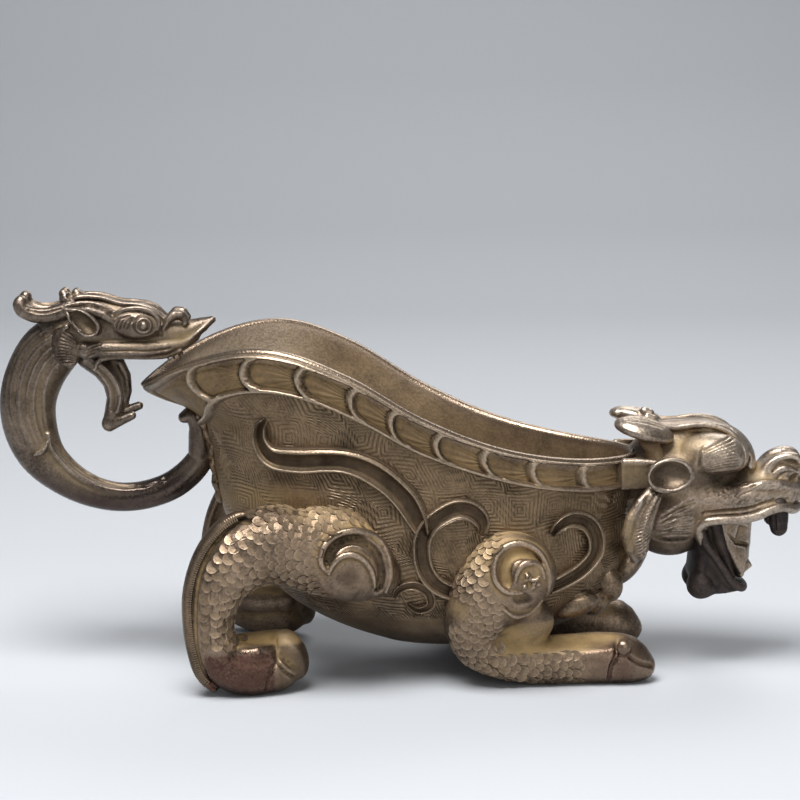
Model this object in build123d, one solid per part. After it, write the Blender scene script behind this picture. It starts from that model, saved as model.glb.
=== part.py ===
"""Cast bronze pouring vessel: a boat-shaped bowl carried by a crouching beast.

The bowl, four legs, the beast's head at the low end and the dragon handle at the high end
are separate castings, joined by tenons and a solder film. +X points to the beast's nose,
+Z is up, and the origin is on the table below the middle of the whole length.
"""

import os
from math import cos, pi, radians, sin

from build123d import *

# Joints between the castings, mm
solder_film = 0.08  # gap between a casting and the bowl it is soldered to
peg_gap = 0.06  # radial play of a peg or tenon in its socket
socket_play = 0.4  # room left beyond the end of a peg or tenon
leg_tenon_radius = 2.6
leg_tenon_length = 4.5  # how far a leg tenon stands out of the bowl wall
neck_tenon_radius = 4.0
neck_tenon_length = 8.0
tail_tenon_radius = 1.3
tail_tenon_length = 2.4
peg_radius = 0.9  # pegs of ears, horns and fangs
peg_length = 3.0

# Bowl, mm
wall = 2.0
half_width = 23.4  # half the width of the bowl at its widest level
widest_x = -9.0  # where the bowl is widest
back_wall_x = -37.4  # back of the bowl below the lip
front_wall_x = 47.5  # front of the bowl, where the neck is
lip_reach = 15.2  # how far the pointed lip overhangs the back wall
belly_z = 5.7  # underside of the bowl above the table
lip_tip_z = 57.6  # rim height at the tip of the lip
rim_peak_z = 67.4  # rim height at its highest, near the back
rim_low_z = 44.0  # rim height at its lowest, at the neck
lip_angle = 48.0  # half angle of the pointed lip, degrees

# Raised work on the bowl, mm
band_thick = 1.1  # how far the rim band stands out
band_drop = 1.3  # plain edge between the rim and the band
band_height_back = 9.4
band_height_front = 5.6
cell_count = 10  # ring cells on each side of the band
cell_depth = 0.7
cell_share = 0.74  # part of the band's height and pitch that a cell takes
strap_thick = 1.2  # how far straps and scrolls stand out of the wall
wing_width = 6.0
scroll_width = 4.0

# Legs, mm
hind_leg_out = 0.6  # middle of a hind foot outside the bowl's widest wall
front_leg_in = 9.0  # middle of a front foot inside the bowl's widest wall
haunch_x = -9.0
haunch_z = 25.4
haunch_radius = 7.8
haunch_depth = 5.8  # half thickness of the haunch, square to the bowl's side
scroll_roll = 0.8  # radius of the roll of the scroll on the haunch
shank_radius = 4.1
fin_half = 1.15  # half thickness of the fin down the back of the shank
hind_foot_radius = 5.0
shoulder_x = 23.8
shoulder_z = 24.6
shoulder_radius = 9.0
forearm_radius = 5.6
foot_flat = 0.7  # depth of the flat filed under each foot

# Beast head, mm
nose_x = 80.35
neck_z = 32.5
neck_radius = 10.4
skull_top_z = 51.0
skull_half_width = 9.8
crest_half = 1.3  # half thickness of the roll over the brow
crest_half_width = 4.6
lid_radius = 3.6  # swollen lid over the eye
lip_line_z = 31.4  # upper lip, the roof of the open mouth
muzzle_half_width = 7.6
jaw_half_width = 7.2
jaw_bottom_z = 14.2
tongue_half_width = 4.4
tongue_thick = 2.6
ear_half_length = 4.7
ear_half_height = 3.5
ear_depth = 5.2
ear_bowl_depth = 1.8
fang_length = 5.4
fang_radius = 1.9
ruff_thick = 2.6

# Dragon handle, mm
handle_reach = 80.7  # far side of the loop from the origin
loop_bottom_z = 31.2
loop_radius = 2.85  # half thickness of the loop where the fingers go
neck_half = 6.0  # half thickness of the dragon's neck
dragon_top_z = 75.4
dragon_half_width = 5.8
dragon_snout_x = -37.3
dragon_lip_z = 61.8
dragon_neck_drop = 8.2  # middle of the neck's end below the crown
dragon_jaw_half_width = 3.2
dragon_jaw_clear = 6.7  # middle of the open jaw behind the tip of the bowl's lip

RING_POINTS = 8  # points of the oval used for every lofted section
QUARTER_PULL = 0.5523  # pull of a curve's handles that makes a quarter of an ellipse


def section(point, along, half_in_plane, half_across):
    """Face of an oval cut square to a limb, its second axis lying along Y as nearly as it can."""
    along = Vector(along).normalized()
    in_plane = Vector(0, 1, 0).cross(along).normalized()
    frame = Plane(origin=Vector(*point), x_dir=in_plane, z_dir=along)
    ring = [
        (half_in_plane * cos(2 * pi * i / RING_POINTS), half_across * sin(2 * pi * i / RING_POINTS))
        for i in range(RING_POINTS)
    ]
    return frame * make_face(Spline(*ring, periodic=True))


def limb(stations):
    """Loft through ovals strung along a path; a station is (x, y, z, half in plane, half across)."""
    points = [Vector(*s[:3]) for s in stations]
    last = len(points) - 1
    sections = []
    for i, (x, y, z, half_in_plane, half_across) in enumerate(stations):
        along = points[min(i + 1, last)] - points[max(i - 1, 0)]
        sections.append(section((x, y, z), along, half_in_plane, half_across))
    return loft(sections)


def rod(start, end, radius):
    """Round pin between two points."""
    start, end = Vector(*start), Vector(*end)
    frame = Plane(origin=start, z_dir=(end - start).normalized())
    return extrude(frame * Circle(radius), (end - start).length)


def other_side(part):
    return mirror(part, about=Plane.XZ)


def largest(part):
    """The main solid of a part, without the slivers that a cut can leave."""
    return part.solids().sort_by(SortBy.VOLUME)[-1]


# Bowl levels: height, back end, widest place, front end, how far the sides draw in, back half angle
round_end = 90.0
half_open = (round_end + lip_angle) / 2
belly_x = widest_x + 18  # middle of the belly, which lies nearer to the head
bowl_levels = [
    (belly_z, belly_x - 13, belly_x, belly_x + 13, 15.4, round_end),
    (belly_z + 2.6, belly_x - 20, belly_x - 1, belly_x + 22, 10.0, round_end),
    (belly_z + 7.5, back_wall_x + 16.5, belly_x - 4, front_wall_x - 7, 5.0, round_end),
    (belly_z + 14.5, back_wall_x + 9, belly_x - 8, front_wall_x - 2.4, 2.2, round_end),
    (belly_z + 24, back_wall_x + 2.6, belly_x - 12, front_wall_x - 0.5, 1.0, round_end),
    (belly_z + 34, back_wall_x, belly_x - 15, front_wall_x, 1.2, round_end),
    (lip_tip_z - 10.6, back_wall_x - 1.2, widest_x, front_wall_x, 1.2, round_end),
    (lip_tip_z - 5.4, back_wall_x - 0.34 * lip_reach, widest_x, front_wall_x, 0.7, half_open),
    (lip_tip_z - 1.6, back_wall_x - 0.86 * lip_reach, widest_x, front_wall_x, 0.2, lip_angle),
    (lip_tip_z + 1.6, back_wall_x - 1.1 * lip_reach, widest_x, front_wall_x, 0.0, lip_angle),
    (rim_peak_z + 4, back_wall_x - 1.16 * lip_reach, widest_x, front_wall_x, -0.8, lip_angle),
]


def bowl_outline(level, grow):
    """Plan of the bowl at one level, grown outwards by a skin (or shrunk by a wall)."""
    height, back, middle, front, draw_in, back_angle = level
    back, front, side = back - grow, front + grow, half_width - draw_in + grow
    pull = QUARTER_PULL * side
    leave = (back + pull * cos(radians(back_angle)), pull * sin(radians(back_angle)))
    arrive = (middle + QUARTER_PULL * (back - middle), side)
    rear = Bezier((back, 0), leave, arrive, (middle, side))
    depart = (middle + QUARTER_PULL * (front - middle), side)
    fore = Bezier((middle, side), depart, (front, pull), (front, 0))
    edges = [rear, fore, mirror(fore, about=Plane.XZ), mirror(rear, about=Plane.XZ)]
    return Plane.XY.offset(height) * make_face(edges)


def bowl_hull(grow=0.0):
    """The bowl's outer form as a closed solid, grown by a skin thickness."""
    bottom, *middle, top = bowl_levels
    bottom = (bottom[0] - grow, *bottom[1:])
    top = (top[0] + grow, *top[1:])
    return loft([bowl_outline(level, grow) for level in [bottom, *middle, top]])


lip_tip_x = back_wall_x - lip_reach
rim_points = [
    (lip_tip_x - 6, lip_tip_z - 4.6),
    (lip_tip_x, lip_tip_z),
    (lip_tip_x + 0.4 * (widest_x - 16 - lip_tip_x), rim_peak_z - 3.4),
    (widest_x - 16, rim_peak_z),
    (widest_x - 1.5, rim_low_z + 0.8 * (rim_peak_z - rim_low_z)),
    (widest_x + 13, rim_low_z + 0.44 * (rim_peak_z - rim_low_z)),
    (widest_x + 28, rim_low_z + 0.17 * (rim_peak_z - rim_low_z)),
    (widest_x + 42, rim_low_z + 0.04 * (rim_peak_z - rim_low_z)),
    (front_wall_x, rim_low_z),
    (front_wall_x + 8, rim_low_z),
]
rim_curve = Spline(*rim_points)


def rim_height(x):
    """Height of the rim curve above the table at a place along the bowl."""
    crossing = rim_curve.intersect(Axis((x, 0), (0, 1)))
    return crossing.vertices()[0].Y if hasattr(crossing, "vertices") else crossing.Y


def band_height(x):
    """Height of the rim band, which tapers towards the head."""
    share = (x - lip_tip_x) / (front_wall_x - lip_tip_x)
    return band_height_back + (band_height_front - band_height_back) * share


def across(face):
    """A face drawn in the X-Z plane, carried right through the bowl along Y."""
    return extrude(Plane.XZ * face, 2 * half_width, both=True)


def strip(upper, lower):
    """Face between two curves drawn in the X-Z plane."""
    ends = [Line(upper @ 0, lower @ 0), Line(upper @ 1, lower @ 1)]
    return make_face([upper, lower, *ends])


def below_rim(drop):
    """Everything under the rim, lowered by a drop."""
    top = Pos(0, -drop) * rim_curve
    floor = Line((rim_points[0][0], -belly_z), (rim_points[-1][0], -belly_z))
    return across(strip(top, floor))


def wall_y(x, z, skin=0.0):
    """Distance of the bowl's outer wall from the centre plane at a place on its side."""
    probe = Line((x, 0, z), (x, 3 * half_width, z))
    return max(v.Y for v in (probe & hull).vertices()) + skin


hull = bowl_hull()
hull_film = bowl_hull(solder_film)


def laid_on_wall(outline, thick):
    """Part of a solid that lies on the bowl's wall, up to the given thickness over it."""
    return (bowl_hull(thick) & outline) - hull_film


leg_tenons = [(haunch_x, haunch_z), (shoulder_x, shoulder_z)]
neck_tenon_z = neck_z
tail_tenon_z = lip_tip_z - 15.0


def bowl_tenons(grow=0.0):
    """Pins cast on the bowl's outer wall; grown, they are the sockets of the parts they hold."""
    play = socket_play if grow else 0.0
    pins = []
    for x, z in leg_tenons:
        out = wall_y(x, z)
        end = (x, out + leg_tenon_length + play, z)
        pin = rod((x, out - wall / 2, z), end, leg_tenon_radius + grow)
        pins += [pin, other_side(pin)]
    neck_start = (front_wall_x - wall, 0, neck_tenon_z)
    neck_end = (front_wall_x + neck_tenon_length + play, 0, neck_tenon_z)
    pins.append(rod(neck_start, neck_end, neck_tenon_radius + grow))
    tail_start = (back_wall_x + wall / 2, 0, tail_tenon_z)
    tail_end = (back_wall_x - tail_tenon_length - play, 0, tail_tenon_z)
    pins.append(rod(tail_start, tail_end, tail_tenon_radius + grow))
    return pins


def build_bowl():
    shell = (hull - bowl_hull(-wall)) & below_rim(0)
    for pin in bowl_tenons():
        shell += pin
    return shell


def build_rim_band():
    """Raised band under the rim with a row of ring cells sunk in it."""
    low_points = [(x, z - band_height(x)) for x, z in rim_points]
    upper = Pos(0, -band_drop) * rim_curve
    band = laid_on_wall(across(strip(upper, Spline(*low_points))), band_thick)
    start, end = lip_tip_x + 5, front_wall_x - 6
    pitch = (end - start) / cell_count
    cell_floor = bowl_hull(band_thick - cell_depth)
    for i in range(cell_count):
        x = start + (i + 0.5) * pitch
        slope = (rim_height(x + 1) - rim_height(x - 1)) / 2
        middle = rim_height(x) - band_drop - (band_height(x) - band_drop) / 2
        tall = cell_share * (band_height(x) - band_drop)
        slot = SlotOverall(max(pitch * cell_share, tall * 1.05), tall)
        tilt = Vector(1, slope).get_signed_angle(Vector(1, 0))
        band -= across(Pos(x, middle) * Rot(0, 0, -tilt) * slot) - cell_floor
    return band - skull


def relief(path, width):
    """Strap of constant width laid along a path on the near wall of the bowl."""
    face = trace(path, width)
    return laid_on_wall(extrude(Plane.XZ * face, 2 * half_width), strap_thick)


def build_wing_strap():
    """Long S strap that sweeps from below the lip down to the scroll behind the shoulder."""
    hook = (back_wall_x + 11.5, lip_tip_z - 7.4)
    path = Spline(
        hook,
        (hook[0] + 2.4, hook[1] - 4.6),
        (hook[0] + 13.5, hook[1] - 4.6),
        (hook[0] + 23.5, hook[1] - 8.8),
        (hook[0] + 30.5, hook[1] - 18.2),
    )
    scroll_bed = trace(rear_scroll_path(), scroll_width + 2 * solder_film)
    strap = relief(path, wing_width) - extrude(Plane.XZ * scroll_bed, 2 * half_width)
    return largest(strap - legs_cutter)


def rear_scroll_path():
    centre = (shoulder_x - 13.2, shoulder_z + 4.0)
    return Spline(
        (centre[0] + 5.2, centre[1] + 3.4),
        (centre[0] + 2.2, centre[1] + 7.8),
        (centre[0] - 3.4, centre[1] + 5.6),
        (centre[0] - 6.2, centre[1] - 1.0),
        (centre[0] - 1.6, centre[1] - 8.0),
    )


def build_rear_scroll():
    """C-shaped strap behind the shoulder, open towards the head."""
    return largest(relief(rear_scroll_path(), scroll_width) - legs_cutter)


def build_front_scroll():
    """C-shaped strap before the shoulder, open towards the tail."""
    centre = (shoulder_x + 11.0, shoulder_z + 3.4)
    path = Spline(
        (centre[0] - 4.2, centre[1] + 2.8),
        (centre[0] - 0.4, centre[1] + 5.2),
        (centre[0] + 3.6, centre[1] + 1.6),
        (centre[0] + 2.6, centre[1] - 3.4),
        (centre[0] - 1.6, centre[1] - 6.4),
    )
    return largest(relief(path, scroll_width) - legs_cutter)


def seated(part):
    """A casting trimmed to the bowl's wall and bored for the bowl's tenons."""
    part -= hull_film
    for socket in bowl_tenons(peg_gap):
        part -= socket
    return part


above_table = Pos(0, 0, 100) * Box(400, 400, 200)


def hind_leg_form():
    """Crouching hind leg: haunch on the belly, shank behind the bowl, paw turned inwards."""
    heel_z = hind_foot_radius - foot_flat
    foot_x = haunch_x - 26
    out = -(half_width + hind_leg_out)
    leg = limb(
        [
            (haunch_x + 7.4, out + 3.0, haunch_z - 3.0, 0.3 * haunch_radius, 2.0),
            (haunch_x + 5.4, out + 2.2, haunch_z - 2.2, 0.7 * haunch_radius, 4.2),
            (haunch_x, out + 1.2, haunch_z, haunch_radius, haunch_depth),
            (haunch_x - 9, out + 0.2, haunch_z + 3.2, haunch_radius - 0.6, haunch_depth),
            (haunch_x - 17.4, out - 0.4, haunch_z + 4.2, haunch_radius - 0.8, haunch_depth - 0.2),
            (foot_x + 3.0, out - 0.8, haunch_z + 1.4, shank_radius + 2.1, 5.4),
            (foot_x - 0.2, out - 0.8, haunch_z - 3.4, shank_radius + 0.9, 5.2),
            (foot_x - 1.3, out - 0.8, haunch_z - 8.4, shank_radius + 0.2, 4.8),
            (foot_x - 1.3, out - 0.8, haunch_z - 13.8, shank_radius, 4.8),
            (foot_x + 0.2, out - 0.4, heel_z + 2.6, hind_foot_radius, 4.8),
            (foot_x + 5.4, out + 1.2, heel_z, hind_foot_radius, 5.0),
            (foot_x + 11.6, out + 3.2, heel_z + 1.6, hind_foot_radius + 0.8, 5.0),
            (foot_x + 15.4, out + 4.2, heel_z + 3.4, hind_foot_radius + 0.2, 4.6),
            (foot_x + 17.8, out + 4.8, heel_z + 4.0, 0.6 * hind_foot_radius, 2.8),
        ]
    )
    return leg + shank_fin(foot_x, out - 1.2) - haunch_channel(out + 1.2) + haunch_roll(out + 1.2)


def shank_fin(foot_x, fin_y):
    """Fin that follows the back of the thigh and shank down to the heel."""
    path = [
        (foot_x + 4.8, haunch_z + 11.2),
        (foot_x + 1.6, haunch_z + 10.4),
        (foot_x - 1.6, haunch_z + 7.0),
        (foot_x - 4.2, haunch_z + 2.2),
        (foot_x - 5.8, haunch_z - 3.0),
        (foot_x - 6.2, haunch_z - 10.8),
        (foot_x - 5.4, haunch_z - 16.2),
        (foot_x - 2.6, foot_flat + 1.4),
    ]
    return limb([(x, fin_y, z, fin_half, 2 * fin_half) for x, z in path])


def on_haunch(middle_y, turn, share, radius):
    """Station of a scroll on the bulge of the haunch, at an angle from its front and a share of its radius."""
    rise = cos(pi / 2 * share)
    reach = share * haunch_radius
    x, z = haunch_x + reach * cos(radians(turn)), haunch_z + reach * sin(radians(turn))
    return (x, middle_y - haunch_depth * rise, z, radius, radius)


def haunch_roll(middle_y):
    """Outer roll of the comma scroll on the haunch."""
    return limb([on_haunch(middle_y, turn, 0.86, scroll_roll) for turn in range(-20, 161, 30)])


def haunch_channel(middle_y):
    """Crescent channel inside the roll."""
    return limb([on_haunch(middle_y, turn, 0.56, 1.4 * scroll_roll) for turn in range(-20, 161, 30)])


def front_leg_form():
    """Crouching front leg: shoulder on the chest, elbow back, forearm laid along the table."""
    arm_z = forearm_radius - foot_flat
    out = -(half_width - front_leg_in)
    return limb(
        [
            (shoulder_x + 5.2, out - 3.6, shoulder_z + 8.6, 0.26 * shoulder_radius, 1.8),
            (shoulder_x + 3.6, out - 4.6, shoulder_z + 6.0, 0.7 * shoulder_radius, 3.8),
            (shoulder_x, out - 6.0, shoulder_z, shoulder_radius, 5.8),
            (shoulder_x - 6.2, out - 6.4, shoulder_z - 5.8, 0.8 * shoulder_radius, 5.6),
            (shoulder_x - 10.2, out - 5.0, shoulder_z - 11.6, forearm_radius + 0.3, 5.2),
            (shoulder_x - 6.8, out - 3.2, arm_z + 3.4, forearm_radius - 0.4, 5.0),
            (shoulder_x + 0.6, out - 1.6, arm_z + 0.6, forearm_radius - 0.4, 5.0),
            (shoulder_x + 11.6, out, arm_z, forearm_radius, 5.0),
            (shoulder_x + 19.6, out, arm_z, forearm_radius - 0.2, 5.0),
            (shoulder_x + 23.6, out, arm_z - 0.6, forearm_radius - 1.6, 4.0),
            (shoulder_x + 25.4, out, arm_z - 1.4, 0.3 * forearm_radius, 1.6),
        ]
    )


hind_leg = hind_leg_form() & above_table
front_leg = front_leg_form() & above_table
legs_cutter = hind_leg + front_leg


def skull_form():
    """Forms of the casting of neck, cranium and upper jaw; the brow stands steeply over the muzzle."""
    mouth_x = front_wall_x + 11.5
    brow_x = nose_x - 12.0
    middle = (skull_top_z + lip_line_z) / 2
    half = (skull_top_z - lip_line_z) / 2
    cheek_drop = 3.4
    crest_drop = 0.9  # the skull's top is twice this below the crest's
    cranium = limb(
        [
            (front_wall_x - 4, 0, neck_z, neck_radius, neck_radius - 0.4),
            (front_wall_x + 3, 0, neck_z + 2.4, neck_radius + 0.6, neck_radius),
            (mouth_x - 2, 0, middle - cheek_drop - crest_drop, half + cheek_drop - crest_drop, skull_half_width),
            (mouth_x + 4, 0, middle - crest_drop, half - crest_drop, 0.82 * skull_half_width),
            (brow_x - 0.6, 0, middle - 1.6, half - 3.6, 0.6 * skull_half_width),
            (brow_x + 1.2, 0, middle - 2.6, half - 5.6, 0.4 * skull_half_width),
        ]
    )
    muzzle_half = 4.8
    muzzle_z = lip_line_z + muzzle_half
    muzzle = limb(
        [
            (mouth_x + 1, 0, muzzle_z, muzzle_half, muzzle_half_width + 1.4),
            (brow_x, 0, muzzle_z, muzzle_half, muzzle_half_width + 0.4),
            (nose_x - 6, 0, muzzle_z + 0.4, muzzle_half - 0.2, muzzle_half_width - 0.6),
            (nose_x - 2.4, 0, muzzle_z + 0.4, muzzle_half - 0.8, muzzle_half_width - 2.0),
            (nose_x - 0.8, 0, muzzle_z + 0.4, muzzle_half - 2.4, muzzle_half_width - 4.0),
        ]
    )
    nose_z = muzzle_z + 5.6
    nose = limb(
        [
            (brow_x + 0.6, 0, nose_z - 2.2, 1.4, 3.2),
            (brow_x + 3.6, 0, nose_z - 0.2, 2.4, 4.2),
            (nose_x - 4.4, 0, nose_z + 0.8, 2.6, 4.2),
            (nose_x - 1.6, 0, nose_z + 0.4, 2.4, 3.4),
            (nose_x - 0.2, 0, nose_z - 0.6, 1.0, 1.4),
        ]
    )
    lip_roll = limb(
        [
            (mouth_x - 0.2, 1.2 - muzzle_half_width, lip_line_z - 2.4, 0.9, 0.9),
            (mouth_x + 1.3, -0.6 - muzzle_half_width, lip_line_z - 0.7, 0.9, 0.9),
            (brow_x - 1, -0.6 - muzzle_half_width, lip_line_z - 0.2, 0.9, 0.9),
            (nose_x - 7, 0.6 - muzzle_half_width, lip_line_z + 1.4, 0.9, 0.9),
            (nose_x - 2.2, 3.0 - muzzle_half_width, lip_line_z + 1.2, 0.9, 0.9),
            (nose_x - 0.9, 0.8, lip_line_z + 1.1, 0.9, 0.9),
        ]
    )
    return [cranium, muzzle, brow_crest(brow_x), nose, eyelid(brow_x), lip_roll]


def brow_crest(brow_x):
    """Helmet-like roll over the skull that turns down to the bridge of the nose."""
    top = skull_top_z - crest_half
    return limb(
        [
            (front_wall_x + 2, 0, top - 0.6, crest_half, crest_half_width),
            (front_wall_x + 9, 0, top - 0.1, crest_half, crest_half_width),
            (brow_x - 6, 0, top - 0.4, crest_half, crest_half_width),
            (brow_x - 1.6, 0, top - 2.0, crest_half, crest_half_width),
            (brow_x + 1.0, 0, top - 5.4, crest_half, crest_half_width - 0.4),
            (brow_x + 1.4, 0, top - 9.0, crest_half - 0.2, crest_half_width - 1.0),
        ]
    )


def eyelid(brow_x):
    """Swollen lid that stands out of the right side of the skull below the crest."""
    lid_x, lid_y, lid_z = brow_x - 5.2, -0.66 * skull_half_width, skull_top_z - 6.0
    return limb(
        [
            (lid_x - 4.6, lid_y, lid_z - 0.2, 1.2, 1.2),
            (lid_x - 3.0, lid_y, lid_z, 0.82 * lid_radius, 0.82 * lid_radius),
            (lid_x, lid_y, lid_z, lid_radius, lid_radius),
            (lid_x + 3.0, lid_y + 0.4, lid_z - 0.2, 0.8 * lid_radius, 0.8 * lid_radius),
            (lid_x + 4.8, lid_y + 0.8, lid_z - 0.6, 1.0, 1.0),
        ]
    )


right_half = Pos(0, -100, 0) * Box(400, 200, 400)


def even_sided(*forms):
    """Forms joined on their right side, with a left half that is its exact mirror image."""
    right = forms[0] & right_half
    for form in forms[1:]:
        right += form & right_half
    return right + other_side(right)


skull = even_sided(*skull_form())
ear_x, ear_z = front_wall_x + 5.4, skull_top_z - 9.4
horn_x, horn_z, horn_y = front_wall_x + 2.8, skull_top_z - 6.0, 5.6
fang_x, fang_y = nose_x - 5.8, muzzle_half_width - 3.2


def ear_peg(grow=0.0):
    play = socket_play if grow else 0.0
    base_y = skull_half_width - 1.8
    inner_end = (ear_x, -base_y + peg_length + play, ear_z)
    return rod((ear_x, -base_y - 1.0, ear_z), inner_end, peg_radius + grow)


def horn_peg(grow=0.0):
    play = socket_play if grow else 0.0
    lower_end = (horn_x, -horn_y, horn_z - peg_length - play)
    return rod((horn_x, -horn_y, horn_z + 4), lower_end, peg_radius + grow)


def fang_peg(grow=0.0):
    play = socket_play if grow else 0.0
    top = lip_line_z + 1.6
    return rod((fang_x, -fang_y, top - 1.0), (fang_x, -fang_y, top + peg_length + play), peg_radius + grow)


def soldered_on_skull(form, lift):
    """A form trimmed to the skull, with the solder film above or below it."""
    return largest(Pos(0, 0, lift) * largest(form - skull) - skull)


def build_beast_head():
    head = seated(skull)
    for peg in (ear_peg, horn_peg, fang_peg):
        socket = peg(peg_gap)
        head -= socket
        head -= other_side(socket)
    return head


def ear_ring(y, share):
    """Oval of the ear at a distance from the centre plane, as a share of its full size."""
    sideways = (0, -1, 0.001)
    return section((ear_x, -y, ear_z), sideways, share * ear_half_height, share * ear_half_length)


def build_beast_ear():
    """Cupped ear facing sideways."""
    base_y = skull_half_width - 2.2
    mouth_y = base_y + ear_depth
    cup = loft([ear_ring(base_y, 0.45), ear_ring(base_y + 0.6 * ear_depth, 0.86), ear_ring(mouth_y, 1.0)])
    hollow = loft([ear_ring(mouth_y - ear_bowl_depth, 0.4), ear_ring(mouth_y + 0.01, 0.82)])
    return Pos(0, -solder_film, 0) * (cup - hollow - skull) + ear_peg()


def build_beast_horn():
    """Short mushroom-shaped horn that leans back over the rim."""
    horn = limb(
        [
            (horn_x + 0.2, -horn_y, horn_z - 0.6, 2.4, 2.0),
            (horn_x - 1.6, -horn_y - 0.4, horn_z + 3.0, 3.2, 2.4),
            (horn_x - 3.0, -horn_y - 0.6, horn_z + 6.2, 4.6, 2.6),
            (horn_x - 3.6, -horn_y - 0.6, horn_z + 8.8, 3.4, 2.0),
            (horn_x - 3.8, -horn_y - 0.6, horn_z + 9.8, 1.4, 0.9),
        ]
    )
    return soldered_on_skull(horn, solder_film) + horn_peg()


def build_beast_fang():
    """Fang hanging from the upper lip near the nose."""
    top = lip_line_z + 3.6
    fang = limb(
        [
            (fang_x, -fang_y, top, fang_radius, fang_radius),
            (fang_x, -fang_y, top - 0.7 * fang_length, 0.85 * fang_radius, 0.85 * fang_radius),
            (fang_x, -fang_y, top - fang_length - 2.4, 0.4 * fang_radius, 0.4 * fang_radius),
        ]
    )
    return soldered_on_skull(fang, -solder_film) + fang_peg()


def jaw_form():
    """Lower jaw dropped wide open below the cheek."""
    hinge_x = front_wall_x + 12.4
    return limb(
        [
            (hinge_x, 0, lip_line_z - 4.0, 4.2, jaw_half_width + 0.6),
            (hinge_x + 1.2, 0, lip_line_z - 9.0, 3.6, jaw_half_width),
            (hinge_x + 2.2, 0, jaw_bottom_z + 4.2, 4.0, jaw_half_width - 0.4),
            (hinge_x + 4.6, 0, jaw_bottom_z + 2.0, 2.4, jaw_half_width - 1.4),
            (hinge_x + 8.6, 0, jaw_bottom_z + 1.7, 1.3, jaw_half_width - 3.0),
        ]
    )


jaw = jaw_form() - skull


def build_tongue():
    """Tongue lying in the open jaw, its tip curled forwards."""
    root_x = front_wall_x + 17.0
    tongue = limb(
        [
            (root_x - 0.6, 0, lip_line_z - 5.4, 0.4 * tongue_thick, tongue_half_width - 0.6),
            (root_x + 0.3, 0, lip_line_z - 7.8, 0.7 * tongue_thick, tongue_half_width),
            (root_x + 1.8, 0, jaw_bottom_z + 6.4, 0.7 * tongue_thick, tongue_half_width - 0.4),
            (root_x + 4.4, 0, jaw_bottom_z + 5.0, 0.35 * tongue_thick, tongue_half_width - 1.2),
        ]
    )
    return Pos(solder_film, 0, 0) * (tongue - jaw_form())


def build_neck_ruff():
    """Collar of mane round the root of the neck."""
    rear = front_wall_x - 3.6
    ruff = limb(
        [
            (rear, 0, neck_z - 1.6, neck_radius + 0.4, neck_radius + 1.2),
            (rear + 3, 0, neck_z - 0.8, neck_radius + ruff_thick - 0.4, neck_radius + ruff_thick),
            (rear + 6, 0, neck_z - 0.2, neck_radius + 0.9, neck_radius + 1.4),
        ]
    )
    ruff = (ruff - hull_film - skull) & below_rim(band_height_front + 0.6)
    for leg in (front_leg, other_side(front_leg)):
        ruff -= leg
    return ruff


dragon_middle_z = (dragon_top_z + dragon_lip_z) / 2
dragon_rear_x = -handle_reach + 12.4  # back of the dragon's skull


def loop_form():
    """Body of the dragon, bent into the finger loop; it thickens into the neck."""
    span = back_wall_x + handle_reach  # from the bowl's back wall to the far side of the loop
    rise = dragon_top_z - dragon_neck_drop - loop_bottom_z  # from the loop's bottom to the neck's end

    def at(across_share, up_share, half_in_plane, half_across):
        x, z = back_wall_x - across_share * span, loop_bottom_z + up_share * rise
        return (x, 0, z, half_in_plane, half_across)

    return limb(
        [
            at(0.055, 0.322, loop_radius, loop_radius),
            at(0.106, 0.239, loop_radius, loop_radius),
            at(0.189, 0.150, loop_radius, loop_radius),
            at(0.309, 0.094, loop_radius, loop_radius),
            at(0.448, 0.079, loop_radius, loop_radius + 0.2),
            at(0.580, 0.117, loop_radius + 0.4, loop_radius + 0.4),
            at(0.707, 0.200, loop_radius + 1.0, loop_radius + 0.8),
            at(0.806, 0.317, neck_half - 1.4, loop_radius + 1.2),
            at(0.859, 0.461, neck_half - 0.6, loop_radius + 1.6),
            at(0.868, 0.622, neck_half - 0.3, loop_radius + 2.0),
            at(0.824, 0.789, neck_half, loop_radius + 2.2),
            at(0.746, 0.928, neck_half, loop_radius + 2.2),
            at(0.677, 1.0, neck_half - 0.4, loop_radius + 2.2),
        ]
    )


loop = even_sided(loop_form())


def build_handle_tail():
    """Curled tail of the dragon, soldered up the bowl's back wall; the thumb rests on it."""
    top = lip_tip_z - 6.4
    tail = limb(
        [
            (back_wall_x - 5.6, 0, top, 1.2, 1.8),
            (back_wall_x - 4.2, 0, top - 1.6, 1.9, 2.4),
            (back_wall_x - 2.6, 0, top - 5.0, 2.4, 2.8),
            (back_wall_x - 2.0, 0, top - 10.0, 2.8, 2.8),
            (back_wall_x - 1.6, 0, top - 13.6, 2.0, 2.2),
        ]
    )
    return seated(tail) - loop


def dragon_head_form():
    """Dragon's cranium and upper jaw, laid level above the lip that it bites."""
    half = (dragon_top_z - dragon_lip_z) / 2
    length = dragon_snout_x - dragon_rear_x

    def at(share, up, half_in_plane, half_across):
        return (dragon_rear_x + share * length, 0, dragon_middle_z + up, half_in_plane, half_across)

    return limb(
        [
            at(0.0, 0.6, half - 1.8, dragon_half_width - 1.4),
            at(0.258, 0.0, half, dragon_half_width),
            at(0.503, -0.6, half - 1.0, dragon_half_width),
            at(0.677, -2.2, half - 2.6, dragon_half_width - 1.2),
            at(0.839, -0.6, half - 3.6, dragon_half_width - 2.2),
            at(1.0, 1.6, 1.0, 1.4),
        ]
    )


dragon_skull = even_sided(dragon_head_form()) - loop
dragon_jaw_x = lip_tip_x - dragon_jaw_clear


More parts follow.
